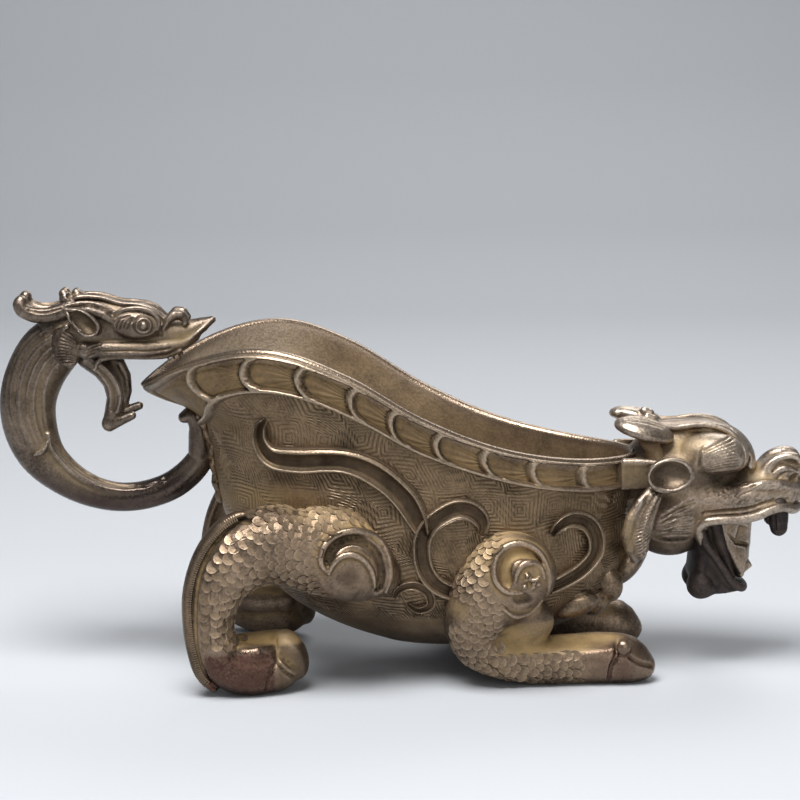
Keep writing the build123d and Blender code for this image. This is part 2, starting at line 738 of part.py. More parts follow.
def build_dragon_jaw():
    """Dragon's lower jaw, dropped open, with the chin curled forwards."""
    bar = limb(
        [
            (dragon_jaw_x - 3.0, 0, dragon_lip_z + 0.4, 2.6, dragon_jaw_half_width + 0.6),
            (dragon_jaw_x + 1.2, 0, dragon_lip_z - 3.4, 2.5, dragon_jaw_half_width + 0.2),
            (dragon_jaw_x + 2.2, 0, dragon_lip_z - 7.4, 2.4, dragon_jaw_half_width),
            (dragon_jaw_x + 1.3, 0, dragon_lip_z - 11.0, 1.9, dragon_jaw_half_width - 0.6),
            (dragon_jaw_x + 1.0, 0, dragon_lip_z - 13.4, 1.4, dragon_jaw_half_width - 1.2),
        ]
    )
    chin = limb(
        [
            (dragon_jaw_x + 0.6, 0, dragon_lip_z - 12.4, 1.5, dragon_jaw_half_width - 0.6),
            (dragon_jaw_x + 4.2, 0, dragon_lip_z - 10.8, 1.2, dragon_jaw_half_width - 1.0),
            (dragon_jaw_x + 6.8, 0, dragon_lip_z - 9.6, 0.9, dragon_jaw_half_width - 1.6),
        ]
    )
    return (bar + chin) - dragon_skull - loop


def build_dragon_horn():
    """Horn swept back from the brow, its tip turned up."""
    root_x, root_z, out = dragon_rear_x + 1.0, dragon_top_z - 3.4, 3.0
    horn = limb(
        [
            (root_x + 2.4, -out, root_z + 0.6, 1.8, 1.5),
            (root_x - 3.4, -out - 0.4, root_z - 0.6, 1.7, 1.4),
            (root_x - 6.6, -out - 0.6, root_z - 0.4, 1.6, 1.3),
            (root_x - 8.6, -out - 0.6, root_z + 1.4, 1.4, 1.1),
            (root_x - 9.0, -out - 0.6, root_z + 3.4, 0.8, 0.7),
        ]
    )
    return Pos(0, -solder_film, solder_film) * largest(horn - dragon_skull - loop)


def build_dragon_ear():
    """Leaf-shaped ear laid back along the cheek."""
    root_x, root_z, out = dragon_rear_x + 8.2, dragon_top_z - 6.2, dragon_half_width - 0.6
    ear = limb(
        [
            (root_x + 1.4, -out, root_z - 0.6, 1.0, 0.8),
            (root_x - 1.6, -out - 0.5, root_z + 0.4, 2.0, 1.1),
            (root_x - 4.4, -out - 0.5, root_z + 1.8, 1.5, 0.9),
            (root_x - 6.6, -out + 0.1, root_z + 2.9, 0.6, 0.5),
        ]
    )
    return Pos(0, -solder_film, 0) * largest(ear - dragon_skull - loop)


def pair(name, part):
    """A right-hand piece and its mirror image, under two names."""
    return {f"{name}_right": part, f"{name}_left": other_side(part)}


pieces = {
    "bowl": build_bowl(),
    "rim_band": build_rim_band(),
    **pair("wing_strap", build_wing_strap()),
    **pair("rear_scroll", build_rear_scroll()),
    **pair("front_scroll", build_front_scroll()),
    **pair("hind_leg", seated(hind_leg)),
    **pair("front_leg", seated(front_leg)),
    "beast_head": build_beast_head(),
    "neck_ruff": build_neck_ruff(),
    "beast_jaw": jaw,
    "beast_tongue": build_tongue(),
    **pair("beast_ear", build_beast_ear()),
    **pair("beast_horn", build_beast_horn()),
    **pair("beast_fang", build_beast_fang()),
    "handle_loop": seated(loop),
    "handle_tail": build_handle_tail(),
    "dragon_head": dragon_skull,
    "dragon_jaw": build_dragon_jaw(),
    **pair("dragon_horn", build_dragon_horn()),
    **pair("dragon_ear", build_dragon_ear()),
}

os.makedirs("parts", exist_ok=True)
for name, piece in pieces.items():
    export_step(piece, f"parts/{name}.step")
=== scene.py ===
import math

import bpy
import numpy as np
from mathutils import Matrix, Vector


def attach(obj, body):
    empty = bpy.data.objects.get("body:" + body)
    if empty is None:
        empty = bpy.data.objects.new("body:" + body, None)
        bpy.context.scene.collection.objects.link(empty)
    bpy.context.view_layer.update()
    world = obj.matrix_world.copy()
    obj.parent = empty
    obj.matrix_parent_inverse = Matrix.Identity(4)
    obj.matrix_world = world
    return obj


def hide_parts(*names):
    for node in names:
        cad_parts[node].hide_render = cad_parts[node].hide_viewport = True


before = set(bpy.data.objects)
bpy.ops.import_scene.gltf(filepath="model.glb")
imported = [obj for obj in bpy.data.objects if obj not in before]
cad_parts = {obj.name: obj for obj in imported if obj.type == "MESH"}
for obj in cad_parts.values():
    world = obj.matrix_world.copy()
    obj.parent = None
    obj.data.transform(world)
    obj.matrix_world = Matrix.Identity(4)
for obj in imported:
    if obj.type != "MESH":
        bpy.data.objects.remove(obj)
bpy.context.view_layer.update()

mm = 0.001  # shapes below are worked out in millimetres
closingCorners = 9  # a face with this many corners or more only closes a cut, and is left out of averages


def linear(hexColour):  # sRGB hex to linear light
    parts = [int(hexColour[i:i + 2], 16) / 255 for i in (1, 3, 5)]
    return [c / 12.92 if c < 0.04045 else ((c + 0.055) / 1.055) ** 2.4 for c in parts] + [1.0]


def addNode(tree, kind, inputs=None, **settings):  # inputs hold plain values or sockets to link
    node = tree.nodes.new(kind)
    for key, value in settings.items():
        setattr(node, key, value)
    for key, value in (inputs or {}).items():
        if isinstance(value, bpy.types.NodeSocket):
            tree.links.new(value, node.inputs[key])
        else:
            node.inputs[key].default_value = value
    return node


def hermite(xs, ys, x):  # smooth curve through (xs, ys)
    xs, ys, x = np.asarray(xs, float), np.asarray(ys, float), np.asarray(x, float)
    slope = np.gradient(ys, xs, axis=0)
    i = np.clip(np.searchsorted(xs, x) - 1, 0, len(xs) - 2)
    step = xs[i + 1] - xs[i]
    t = (x - xs[i]) / step
    if ys.ndim == 2:
        step, t = step[..., None], t[..., None]
    start = (1 + 2 * t) * (1 - t) ** 2 * ys[i] + t * (1 - t) ** 2 * step * slope[i]
    return start + t * t * (3 - 2 * t) * ys[i + 1] + t * t * (t - 1) * step * slope[i + 1]


def runAlong(rows):  # way gone at each row of a path
    return np.r_[0, np.cumsum(np.linalg.norm(np.diff(rows, axis=0), axis=1))]


def spaced(points, count, width=3):  # evenly spaced rows on a smooth curve through rough points
    rows = np.asarray(points, float)
    run = runAlong(rows[:, :width])
    fine = hermite(run, rows, np.linspace(0, run[-1], 500))
    gone = runAlong(fine[:, :width])
    stops = np.linspace(0, gone[-1], count)
    return np.stack([np.interp(stops, gone, fine[:, k]) for k in range(rows.shape[1])], 1)


def unit(rows):  # the same directions, one long
    return rows / np.linalg.norm(rows, axis=1, keepdims=True)


def atY(rows, y):  # a path of x, z rows set at its place across the object
    return np.c_[rows[:, 0], np.full(len(rows), y), rows[:, 1:]]


def thick(rows, *sizes):  # the same rows, all with one radius, and one width where it is given
    return np.c_[rows, np.tile(sizes, (len(rows), 1))]


def even(path, radius, right=0.0, up=0.0):  # x, z rows with one radius, moved a little
    return [(x + right, z + up, radius) for x, z in path]


def tapered(path, radius):  # a ridge that thins out at both ends
    share = np.linspace(0, math.pi, len(path))
    return [(x, z, radius * (0.35 + 0.65 * abs(math.sin(s)) ** 0.5)) for (x, z), s in zip(path, share)]


# 1 in the middle of a place seen from the side, fading away from it
def softSpot(x, z, atX, atZ, wide, tall):
    return np.exp(-(((x - atX) / wide) ** 2 + ((z - atZ) / tall) ** 2))


def ease(x, low, high):  # 0 below low, 1 above high, smooth between
    t = np.clip((x - low) / (high - low), 0, 1)
    return t * t * (3 - 2 * t)


def pointNormals(points, faces):
    normals = np.zeros_like(points)
    for block in faces:
        for i in range(block.shape[1] if block.shape[1] < closingCorners else 0):
            a, b, c = (points[block[:, (i + k) % block.shape[1]]] for k in (-1, 0, 1))
            corner = np.cross(c - b, a - b)
            for k in range(3):
                normals[:, k] += np.bincount(block[:, i], corner[:, k], len(points))
    return normals / np.maximum(np.linalg.norm(normals, axis=1, keepdims=True), 1e-12)


def hollows(points, faces, rounds):  # mm that a point lies in a hollow (+) or on a ridge (-)
    small = [block for block in faces if block.shape[1] < closingCorners]
    pairs = [b[:, [i, (i + 1) % b.shape[1]]] for b in small for i in range(b.shape[1])]
    a, b = np.concatenate(pairs).T
    count = np.maximum(np.bincount(a, minlength=len(points)) + np.bincount(b, minlength=len(points)), 1)
    moved = points.copy()
    for _ in range(rounds):
        for k in range(3):
            total = np.bincount(a, moved[b, k], len(points)) + np.bincount(b, moved[a, k], len(points))
            moved[:, k] = 0.4 * moved[:, k] + 0.6 * total / count
    return ((moved - points) * pointNormals(points, faces)).sum(1)


def facesOut(points, faces):  # the same faces, all looking outwards
    volume = 0.0
    for block in faces:
        for i in range(1, block.shape[1] - 1):
            a, b, c = points[block[:, 0]], points[block[:, i]], points[block[:, i + 1]]
            volume += (a * np.cross(b, c)).sum()
    return faces if volume > 0 else [block[:, ::-1] for block in faces]


def nearness(points, path):  # distance in the side view from points to a path of x, z rows
    return np.min(np.hypot(points[:, None, 0] - path[None, :, 0], points[:, None, 2] - path[None, :, 1]), 1)


# Marks that use leaves on a cast shape: dirt in cut lines, earth in broad hollows, rubbed edges
def wear(points, faces, fine, broad, lineMm, earthMm, dust):
    faces = facesOut(points, faces)
    narrow = hollows(points, faces, fine)
    wide = hollows(points, faces, broad)
    return dict(line=narrow / lineMm - 0.1, earth=dust + wide / earthMm * 0.8,
                rubAndHighlight=-narrow / lineMm * 0.6 - wide / earthMm * 0.3, polish=np.zeros(len(points)))


def addObject(name, data):
    made = bpy.data.objects.new(name, data)
    bpy.context.scene.collection.objects.link(made)
    return made


def makePiece(name, points, faces, material, nodes, marks, crease):
    points = np.asarray(points, float)
    faces = facesOut(points, faces)
    mesh = bpy.data.meshes.new(name)
    corners = np.concatenate([block.ravel() for block in faces]).astype(np.int32)
    sizes = np.concatenate([np.full(len(block), block.shape[1]) for block in faces])
    mesh.vertices.add(len(points))
    mesh.vertices.foreach_set("co", (points * mm).astype(np.float32).ravel())
    mesh.loops.add(len(corners))
    mesh.loops.foreach_set("vertex_index", corners)
    mesh.polygons.add(len(sizes))
    mesh.polygons.foreach_set("loop_start", np.r_[0, np.cumsum(sizes)[:-1]].astype(np.int32))
    mesh.polygons.foreach_set("use_smooth", np.ones(len(sizes), bool))
    mesh.update(calc_edges=True)
    mesh.validate()
    mesh.set_sharp_from_angle(angle=math.radians(crease))
    for key, value in marks.items():
        layer = mesh.attributes.new(key, "FLOAT", "POINT")
        layer.data.foreach_set("value", np.clip(value, 0, 1).astype(np.float32))
    mesh.materials.append(material)
    piece = addObject(name, mesh)
    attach(piece, "root")
    if nodes:
        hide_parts(*nodes)


def bothSides(name, points, faces, material, node, marks, crease):  # a right piece and its mirror
    for side, turn in (("Right", 1), ("Left", -1)):
        nodes = [f"{node}_{side.lower()}"] if node else []
        makePiece(name + side, points * (1, turn, 1), faces, material, nodes, marks, crease)


def gridFaces(index):  # quads of a table of point numbers
    return np.stack([index[:-1, :-1], index[1:, :-1], index[1:, 1:], index[:-1, 1:]], -1).reshape(-1, 4)


def closedSheets(face, back):  # a sheet of points and the one behind it, joined all round
    count = face.shape[0] * face.shape[1]
    front = np.arange(count).reshape(face.shape[:2])
    behind = front + count
    border, under = (np.concatenate([sheet[0, :-1], sheet[:-1, -1], sheet[-1, :0:-1], sheet[:0:-1, 0]])
                     for sheet in (front, behind))
    sides = np.stack([border, np.roll(border, -1), np.roll(under, -1), under], 1)
    points = np.concatenate([face.reshape(-1, 3), back.reshape(-1, 3)])
    return points, [gridFaces(front), gridFaces(behind)[:, ::-1], sides]


# Cast bronze, brown from handling: near-black in cut lines and where shade is painted, ochre earth in broad
# hollows, bare copper where it is rubbed and where highlights are painted
castBronze = dict(dark="#43362b", brown="#8a745c", line="#16110d", earth="#8f754c", rubbedAndHighlight="#bba993",
                  polished="#573b31", blotchMm=7.0, grainMm=0.5, earthShare=0.8, rubAndHighlightShare=0.75, metal=0.88,
                  rough=0.4)
headBronze = dict(castBronze, dark="#4c4036", brown="#9d8a78", earth="#a48c62", rubbedAndHighlight="#dacbba",
                  earthShare=0.65, rough=0.34)
legBronze = dict(castBronze, dark="#46392e", brown="#8d7863", earth="#b09361", rubbedAndHighlight="#b9a48f",
                 polished="#4d342c")
# jaw and fangs: near-black, painted shade of the mouth
jawShadeBronze = dict(castBronze, dark="#171211", brown="#2f2725", earth="#6e5e4a", rubbedAndHighlight="#7d6c63", metal=0.6,
                 rough=0.6)
handleBronze = dict(castBronze, dark="#392f29", brown="#7b6c5e", earth="#84704e", rubbedAndHighlight="#c3b3a3",
                    polished="#3f3431", rough=0.36)


def agedBronze(name, look):
    made = bpy.data.materials.new(name)
    made.use_nodes = True
    tree = made.node_tree
    shader = tree.nodes["Principled BSDF"]
    place = addNode(tree, "ShaderNodeTexCoord").outputs["Object"]
    earthMark, rubAndHighlightMark, polishMark, lineAndShadeMark = (
        addNode(tree, "ShaderNodeAttribute", attribute_name=key).outputs["Fac"]
        for key in ("earth", "rubAndHighlight", "polish", "line"))
    blotch = addNode(tree, "ShaderNodeTexNoise", {
        "Vector": place, "Scale": 1 / (look["blotchMm"] * mm), "Detail": 6.0,
        "Roughness": 0.68}).outputs["Fac"]
    grain = addNode(tree, "ShaderNodeTexNoise", {
        "Vector": place, "Scale": 1 / (look["grainMm"] * mm), "Detail": 3.0,
        "Roughness": 0.6}).outputs["Fac"]
    mottle = addNode(tree, "ShaderNodeMix", {0: 0.35, 2: blotch, 3: grain}, data_type="FLOAT").outputs[0]
    tone = addNode(tree, "ShaderNodeMapRange", {
        "Value": mottle, "From Min": 0.38, "From Max": 0.62}).outputs["Result"]
    fleck = addNode(tree, "ShaderNodeMapRange", {
        "Value": grain, "From Min": 0.3, "From Max": 0.7, "To Min": 0.45, "To Max": 1.2}).outputs["Result"]
    patch = addNode(tree, "ShaderNodeMapRange", {
        "Value": blotch, "From Min": 0.3, "From Max": 0.7, "To Min": 0.6, "To Max": 1.3}).outputs["Result"]
    colour = addNode(tree, "ShaderNodeMix", {
        0: tone, 6: linear(look["dark"]), 7: linear(look["brown"])}, data_type="RGBA").outputs[2]
    shares = {}
    for key, mark, spread, most in (
            ("earth", earthMark, patch, look["earthShare"]), ("line", lineAndShadeMark, fleck, 0.9),
            ("rubbedAndHighlight", rubAndHighlightMark, fleck, look["rubAndHighlightShare"]), ("polished", polishMark, fleck, 1.0)):
        share = addNode(tree, "ShaderNodeMath", {0: mark, 1: spread}, operation="MULTIPLY").outputs[0]
        share = addNode(tree, "ShaderNodeMath", {
            0: share, 1: most}, operation="MULTIPLY", use_clamp=True).outputs[0]
        colour = addNode(tree, "ShaderNodeMix", {
            0: share, 6: colour, 7: linear(look[key])}, data_type="RGBA").outputs[2]
        shares[key] = share
    rough = addNode(tree, "ShaderNodeMapRange", {
        "Value": shares["earth"], "To Min": look["rough"], "To Max": 0.8}).outputs["Result"]
    for key, most in (("line", 0.75), ("rubbedAndHighlight", 0.3), ("polished", 0.17)):
        rough = addNode(tree, "ShaderNodeMix", {
            0: shares[key], 2: rough, 3: most}, data_type="FLOAT").outputs[0]
    metal = addNode(tree, "ShaderNodeMapRange", {
        "Value": shares["earth"], "To Min": look["metal"], "To Max": 0.15}).outputs["Result"]
    bump = addNode(tree, "ShaderNodeBump", {
        "Height": grain, "Strength": 0.55, "Distance": 0.14 * mm}).outputs["Normal"]
    for key, socket in (("Base Color", colour), ("Roughness", rough), ("Metallic", metal), ("Normal", bump)):
        tree.links.new(socket, shader.inputs[key])
    return made


bowlFinish = agedBronze("handledCastBronze", castBronze)
headFinish = agedBronze("chasedBronzeHead", headBronze)
legFinish = agedBronze("scaledBronzeLegs", legBronze)
jawShadeFinish = agedBronze("jawBronzePaintedShade", jawShadeBronze)
handleFinish = agedBronze("chasedBronzeHandle", handleBronze)
print("materials ready")

# The bowl: plan outlines at eleven heights, from the belly to above the rim
bowl = dict(
    wall=2.0, share=0.42, rimRadius=1.15,
    levels=[  # height, back, widest, front, half width, back half angle
        (5.7, -4, 9, 22, 8.0, 90), (8.3, -11, 8, 31, 13.4, 90), (13.2, -20.9, 5, 40.5, 18.4, 90),
        (20.2, -28.4, 1, 45.1, 21.2, 90), (29.7, -34.8, -3, 47, 22.4, 90), (39.7, -37.4, -6, 47.5, 22.2, 90),
        (47.0, -38.6, -9, 47.5, 22.2, 90), (52.2, -42.57, -9, 47.5, 22.7, 69),
        (56.0, -50.47, -9, 47.5, 23.2, 48), (59.2, -54.12, -9, 47.5, 23.4, 48),
        (71.4, -55.03, -9, 47.5, 24.2, 48)],
    rim=[(-58.6, 53.0), (-52.6, 57.6), (-41.56, 64.0), (-25, 67.4), (-10.5, 62.72), (4, 54.3), (19, 47.98),
         (33, 44.94), (47.5, 44.0), (55.5, 44.0)],
    fretCell=7.2, fretLines=5, fretDepth=0.28, fretFrom=13.0, fretCentre=(23.3, 35.6),
    underWing=[(-24.6, 42.6), (-20.0, 41.4), (-15.0, 41.9), (-11.0, 41.8), (-7.8, 40.8), (-5.0, 39.0),
               (-2.8, 36.8), (-1.0, 34.2)])
levelTable = np.array(bowl["levels"], float)
rimTable = np.array(bowl["rim"], float)
quarterPull = 0.5523  # how far a curve's handles reach to make a round quarter
noWall = -40.0  # stands for the half width where the bowl has no wall


def plan(u, z, grow=0.0):  # a point of one side's outline, u from the lip round to the neck
    rows = hermite(levelTable[:, 0], levelTable[:, 1:], np.clip(z, levelTable[0, 0], levelTable[-1, 0]))
    back, middle, front, side, angle = np.moveaxis(rows, -1, 0)
    back, front, side = back - grow, front + grow, side + grow
    pull, turn = quarterPull * side, np.radians(angle)
    share = bowl["share"]
    t = np.where(u < share, u / share, (u - share) / (1 - share))
    a, b, c, d = (1 - t) ** 3, 3 * t * (1 - t) ** 2, 3 * t * t * (1 - t), t ** 3
    rearX = (a * back + b * (back + pull * np.cos(turn))
             + c * (middle + quarterPull * (back - middle)) + d * middle)
    rearY = b * pull * np.sin(turn) + (c + d) * side
    foreX = a * middle + b * (middle + quarterPull * (front - middle)) + (c + d) * front
    foreY = (a + b) * side + c * pull
    return np.where(u < share, rearX, foreX), np.where(u < share, rearY, foreY)


def rimHeight(x):
    return hermite(rimTable[:, 0], rimTable[:, 1], x)


def rimAt(u):  # height of the rim above a place on the outline
    z = np.full(np.shape(u), 56.0)
    for _ in range(10):
        z = rimHeight(plan(u, z)[0])
    return z


roundU = np.linspace(0, 1, 3000)  # fine steps round one side, and the way gone at mid height
roundX, roundY = plan(roundU, np.full(len(roundU), 46.0))
roundRun = np.r_[0, np.cumsum(np.hypot(np.diff(roundX), np.diff(roundY)))]

wallX, wallZ = np.linspace(-58, 48, 900), np.linspace(5.7, 70, 300)
wallTable = np.array([np.interp(wallX, *plan(roundU, np.full(len(roundU), z)), left=noWall, right=noWall)
                      for z in wallZ])


def wallOut(x, z):  # half width of the bowl's outside at a place, below zero beyond it
    x, z = np.broadcast_arrays(np.asarray(x, float), np.asarray(z, float))
    i = np.clip((x - wallX[0]) / (wallX[1] - wallX[0]), 0, len(wallX) - 1.001)
    j = np.clip((z - wallZ[0]) / (wallZ[1] - wallZ[0]), 0, len(wallZ) - 1.001)
    a, b = i.astype(int), j.astype(int)
    p, q = i - a, j - b
    low = wallTable[b, a] * (1 - p) + wallTable[b, a + 1] * p
    high = wallTable[b + 1, a] * (1 - p) + wallTable[b + 1, a + 1] * p
    return np.where(z < wallZ[0], noWall, low * (1 - q) + high * q)


def buildBowl():
    coarse, merge = 105, 4
    columns = np.interp(np.linspace(0, roundRun[-1], coarse * merge + 1), roundRun, roundU)
    run = np.linspace(0, roundRun[-1], len(columns))
    rimZ = rimAt(columns) - bowl["rimRadius"]
    floorZ, startZ = levelTable[0, 0], 11.0
    rows = []
    x, y = plan(columns, np.full(len(columns), floorZ))
    for k in np.linspace(0, 1, 7)[:-1]:  # underside of the belly, closed on the centre plane
        rows.append((x, y * k, np.full(len(x), floorZ + 0.25 * (k - 1))))
    for z in np.linspace(floorZ, startZ, 15)[:-1]:
        x, y = plan(columns, np.full(len(columns), z))
        rows.append((x, y, np.full(len(x), z)))
    cell, lines = bowl["fretCell"], bowl["fretLines"]
    centre = float(np.interp(bowl["fretCentre"][0], *plan(columns, np.full(len(columns), 36.0))[:1], run))
    for v in np.linspace(0, 1, 180):  # walls with the square fret cut in
        z = startZ + (rimZ - startZ) * v
        # lines drawn by hand
        across = run - centre + 0.45 * np.sin(z * 0.41 + 1.0) + 0.3 * np.sin(run * 0.63)
        up = z - bowl["fretCentre"][1] + 0.4 * np.sin(run * 0.37) + 0.25 * np.sin(z * 0.8 + run * 0.21)
        column, row = np.floor(across / cell + 0.5), np.floor(up / cell + 0.5)
        worn = 0.62 + 0.38 * np.sin(column * 12.9 + row * 7.3) * np.sin(run * 0.29 + z * 0.17)
        ring = np.maximum(abs(across - column * cell), abs(up - row * cell)) / (cell / 2)
        ring = ring * (lines + (column + row) % 2)
        cut = (0.5 + 0.5 * np.cos(2 * np.pi * ring)) * worn
        here = ease(z, bowl["fretFrom"], bowl["fretFrom"] + 1.5) * ease(rimZ - z, 4.0, 5.0)
        here = here * ease(run, 4, 7) * ease(roundRun[-1] - run, 2, 5)
        flare = 0.4 * ease(rimZ - z, 2.2, 0.0)
        x, y = plan(columns, z, flare - bowl["fretDepth"] * cut * here)
        rows.append((x, y, z))
    for turn in np.linspace(0, np.pi, 9)[1:]:  # rolled rim
        grow = -0.75 + bowl["rimRadius"] * np.cos(turn)
        z = rimZ + bowl["rimRadius"] * np.sin(turn)
        x, y = plan(columns, z, grow)
        rows.append((x, y, z))
    outer = np.array(rows).transpose(0, 2, 1)
    thin = columns[::merge]
    rows = []
    for v in np.linspace(0.02, 1, 40):  # plain inside
        z = rimZ[::merge] + (floorZ + bowl["wall"] - rimZ[::merge]) * v
        x, y = plan(thin, z, -bowl["wall"])
        rows.append((x, y, z))
    for k in np.linspace(1, 0, 7)[1:]:
        rows.append((x, y * k, z))
    inner = np.array(rows).transpose(0, 2, 1)
    points = np.concatenate([outer.reshape(-1, 3), inner.reshape(-1, 3)])
    outIndex, inIndex = (np.arange(sheet.size // 3).reshape(sheet.shape[:2]) for sheet in (outer, inner))
    inIndex = inIndex + outIndex.size
    top = outIndex[-1]
    joins = np.stack([*[top[k:-1:merge] if k < merge else top[merge::merge] for k in range(merge + 1)],
                      inIndex[0, 1:], inIndex[0, :-1]], 1)[:, ::-1]
    cutFace = np.concatenate([outIndex[::-1, 0], outIndex[0, 1:], outIndex[1:, -1],
                              inIndex[:, -1], inIndex[-1, ::-1][1:], inIndex[::-1, 0][1:]])[None]
    faces = [gridFaces(outIndex), joins, gridFaces(inIndex), cutFace]
    marks = wear(points, faces, 5, 60, 0.1, 0.5, 0.34)
    inside = np.arange(len(points)) >= outIndex[-1, 0]
    low = np.concatenate([np.tile(rimZ, outer.shape[0]), np.tile(rimZ[::merge], inner.shape[0])])
    x, y, z = points.T
    rim = np.exp(-((z - low - 0.6) / 1.1) ** 2)
    stain = ease(-26 - x, 0, 8) * ease(z, 30, 36) * ease(46 - z, 0, 8)  # ochre under the handle
    thigh = softSpot(x, z, -27, 37, 5, 3) * (abs(y) > 8)  # ochre where the hind leg joins
    marks["earth"] = np.where(inside, 0.5 - 0.5 * rim, marks["earth"] + 0.35 * stain + 0.9 * thigh)
    shade = ease(2.6 - nearness(points, spaced(bowl["underWing"], 40, 2)), 0, 2.2)
    bellyShade = ease(23 - z, 0, 8)  # underside, painted dark as shade
    spout = ease(-12 - x, 0, 18) * ease(z, 46, 54)  # inside the back lip, brighter
    marks["line"] = np.where(inside, 0, marks["line"] + 0.55 * shade + 0.6 * bellyShade)
    marks["rubAndHighlight"] = np.where(inside, 0.2 + spout, 0.45 * marks["rubAndHighlight"] * (1 - 0.6 * shade)) + rim * 0.5
    marks["polish"] = rim * 0.4
    for side, turn in (("Right", -1), ("Left", 1)):
        makePiece("bowl" + side, points * (1, turn, 1), faces, bowlFinish, ["bowl"], marks, 50)


buildBowl()
print("bowl and fretwork ready")

# Band of overlapping ring cells below the rim; a cell is round towards the lip and square towards the neck.
# Pairs are heights at the lip and at the neck
rimBand = dict(
    cells=[(-47.1, -40.3), (-39.7, -32.5), (-29.5, -21.2), (-19.0, -11.4), (-9.1, -2.4), (-1.6, 5.1),
           (7.0, 15.1), (16.2, 23.6), (25.6, 33.4), (35.4, 42.6)],
    lip=-52.6, length=100.1, height=(9.6, 6.2), cellHalf=(3.1, 1.75), cellMiddle=(5.3, 3.15),
    drop=0.8, under=-0.5, frame=0.6, ridge=1.4, floor=0.05, tongue=0.15, fanLines=9, rows=48, columns=380)


def buildRimBand():
    u = np.interp(np.linspace(0, roundRun[-1] * 0.985, rimBand["columns"]), roundRun, roundU)
    rimZ = rimAt(u)
    x0 = plan(u, rimZ - 4)[0]
    share = (x0 - rimBand["lip"]) / rimBand["length"]
    tall, halfTall, middle = (atLip + (atNeck - atLip) * share for atLip, atNeck in (
        rimBand["height"], rimBand["cellHalf"], rimBand["cellMiddle"]))
    tall = tall - rimBand["drop"]
    x1, y1 = plan(u, rimZ - rimBand["drop"] - tall / 2)
    run = np.r_[0, np.cumsum(np.sqrt(np.diff(x1) ** 2 + np.diff(y1) ** 2 + np.diff(rimZ) ** 2))]
    rows, back, sunk = [], [], []
    for t in np.linspace(0, 1, rimBand["rows"]):
        z = rimZ - rimBand["drop"] - t * tall
        height = np.full(len(u), rimBand["frame"])
        for start, end in rimBand["cells"]:
            s0, s1 = np.interp([start, end], x1, run)
            half = np.interp(s0, run, halfTall)
            a, b = run - s0, rimBand["drop"] + t * tall - middle
            round_ = np.hypot(a - half, b) - half
            stop = s1 - s0
            if end < rimBand["cells"][-1][1]:
                stop = stop + (half + 1.2)  # each cell runs in under the next one's roll
            # below zero inside the cell
            edge = np.where(a < half, round_, np.maximum(abs(b) - half, a - stop))
            near = (a > -3) & (a < stop + 1.4)
            spread = np.arctan2(b, (s1 - s0) + 2.0 - a) * 3.2 * rimBand["fanLines"]
            fan = 0.09 * np.cos(spread) * ease(-edge, 0.4, 1.0)
            tongue = rimBand["floor"] + rimBand["tongue"] * ease(-edge, 0.2, 1.5) + fan
            roll = ease(edge, -0.1, 0.45) * ease(1.75 - edge, 0, 0.7)
            inside = ease(-edge, -0.15, 0.15)
            raised = height + (rimBand["ridge"] - height) * roll
            height = np.where(near, raised * (1 - inside) + tongue * inside, height)
        sunk.append(ease(0.5 - height, 0, 0.25))
        height = 0.35 + (height - 0.35) * ease(t * tall, -0.2, 0.7)
        height = height * ease(t, 1.0, 0.95) - 0.2 * (1 - ease(t, 1.0, 0.95))
        x, y = plan(u, z, height)
        rows.append((x, y, z))
        back.append((*plan(u, z, rimBand["under"]), z))
    sheets = []
    for sheet in (rows, back):  # right side from neck to lip, then left side back to the neck
        sheet = np.array(sheet).transpose(0, 2, 1)
        sheets.append(np.concatenate([sheet[:, ::-1] * (1, -1, 1), sheet[:, 1:]], 1))
    points, faces = closedSheets(*sheets)
    marks = wear(points, faces, 6, 60, 0.12, 0.4, 0.15)
    sunk = np.array(sunk)
    floors = np.concatenate([sunk[:, ::-1], sunk[:, 1:]], 1).ravel()
    floors = np.r_[floors, 0 * floors]
    marks["earth"] += 0.45 * floors
    marks["rubAndHighlight"] += -0.7 * floors
    makePiece("rimBand", points, faces, bowlFinish, ["rim_band"], marks, 60)


buildRimBand()
print("rim band ready")

# Straps with two ridges and a hollow between, laid on the wall; rows are x, z, half width
strapLook = dict(
    under=-0.8, step=0.26, channel=0.55,
    evenEdges=[(-1.0, -0.5), (-0.97, 0.8), (-0.86, 1.4), (-0.72, 1.5), (-0.58, 0.9), (-0.47, 0.35),
               (-0.36, 0.22), (0.0, 0.2), (0.36, 0.22), (0.47, 0.35), (0.58, 0.9), (0.72, 1.5), (0.86, 1.4),
               (0.97, 0.8), (1.0, -0.5)],
    cove=[(-1.0, -0.6), (-0.97, 0.6), (-0.9, 1.15), (-0.74, 1.25), (-0.6, 0.5), (-0.5, 0.2), (-0.3, 0.18),
          (0.0, 0.32), (0.3, 0.8), (0.46, 1.35), (0.56, 1.9), (0.7, 1.8), (0.84, 1.45), (0.97, 0.8),
          (1.0, -0.5)])
wingStrap = [(-26.2, 53.4, 0.5), (-27.2, 52.0, 1.2), (-27.4, 49.4, 1.6), (-25.8, 46.6, 2.3),
             (-20.2, 45.7, 2.75), (-15.1, 46.1, 2.65), (-11.2, 46.0, 2.6), (-7.6, 45.0, 2.7),
             (-4.0, 43.0, 2.75), (-1.3, 40.8, 2.65), (1.2, 38.0, 2.7), (3.2, 34.2, 2.2), (4.4, 31.0, 1.2)]
rearScroll = [(15.4, 31.2, 0.7), (15.8, 33.0, 1.4), (13.9, 35.7, 2.0), (11.0, 36.4, 2.1), (8.0, 35.3, 2.0),
              (5.4, 33.2, 1.95), (4.1, 30.8, 1.9), (3.9, 27.9, 1.85), (4.7, 24.3, 1.85), (6.8, 21.4, 1.85),
              (10.2, 19.7, 1.7), (13.5, 19.4, 1.6)]
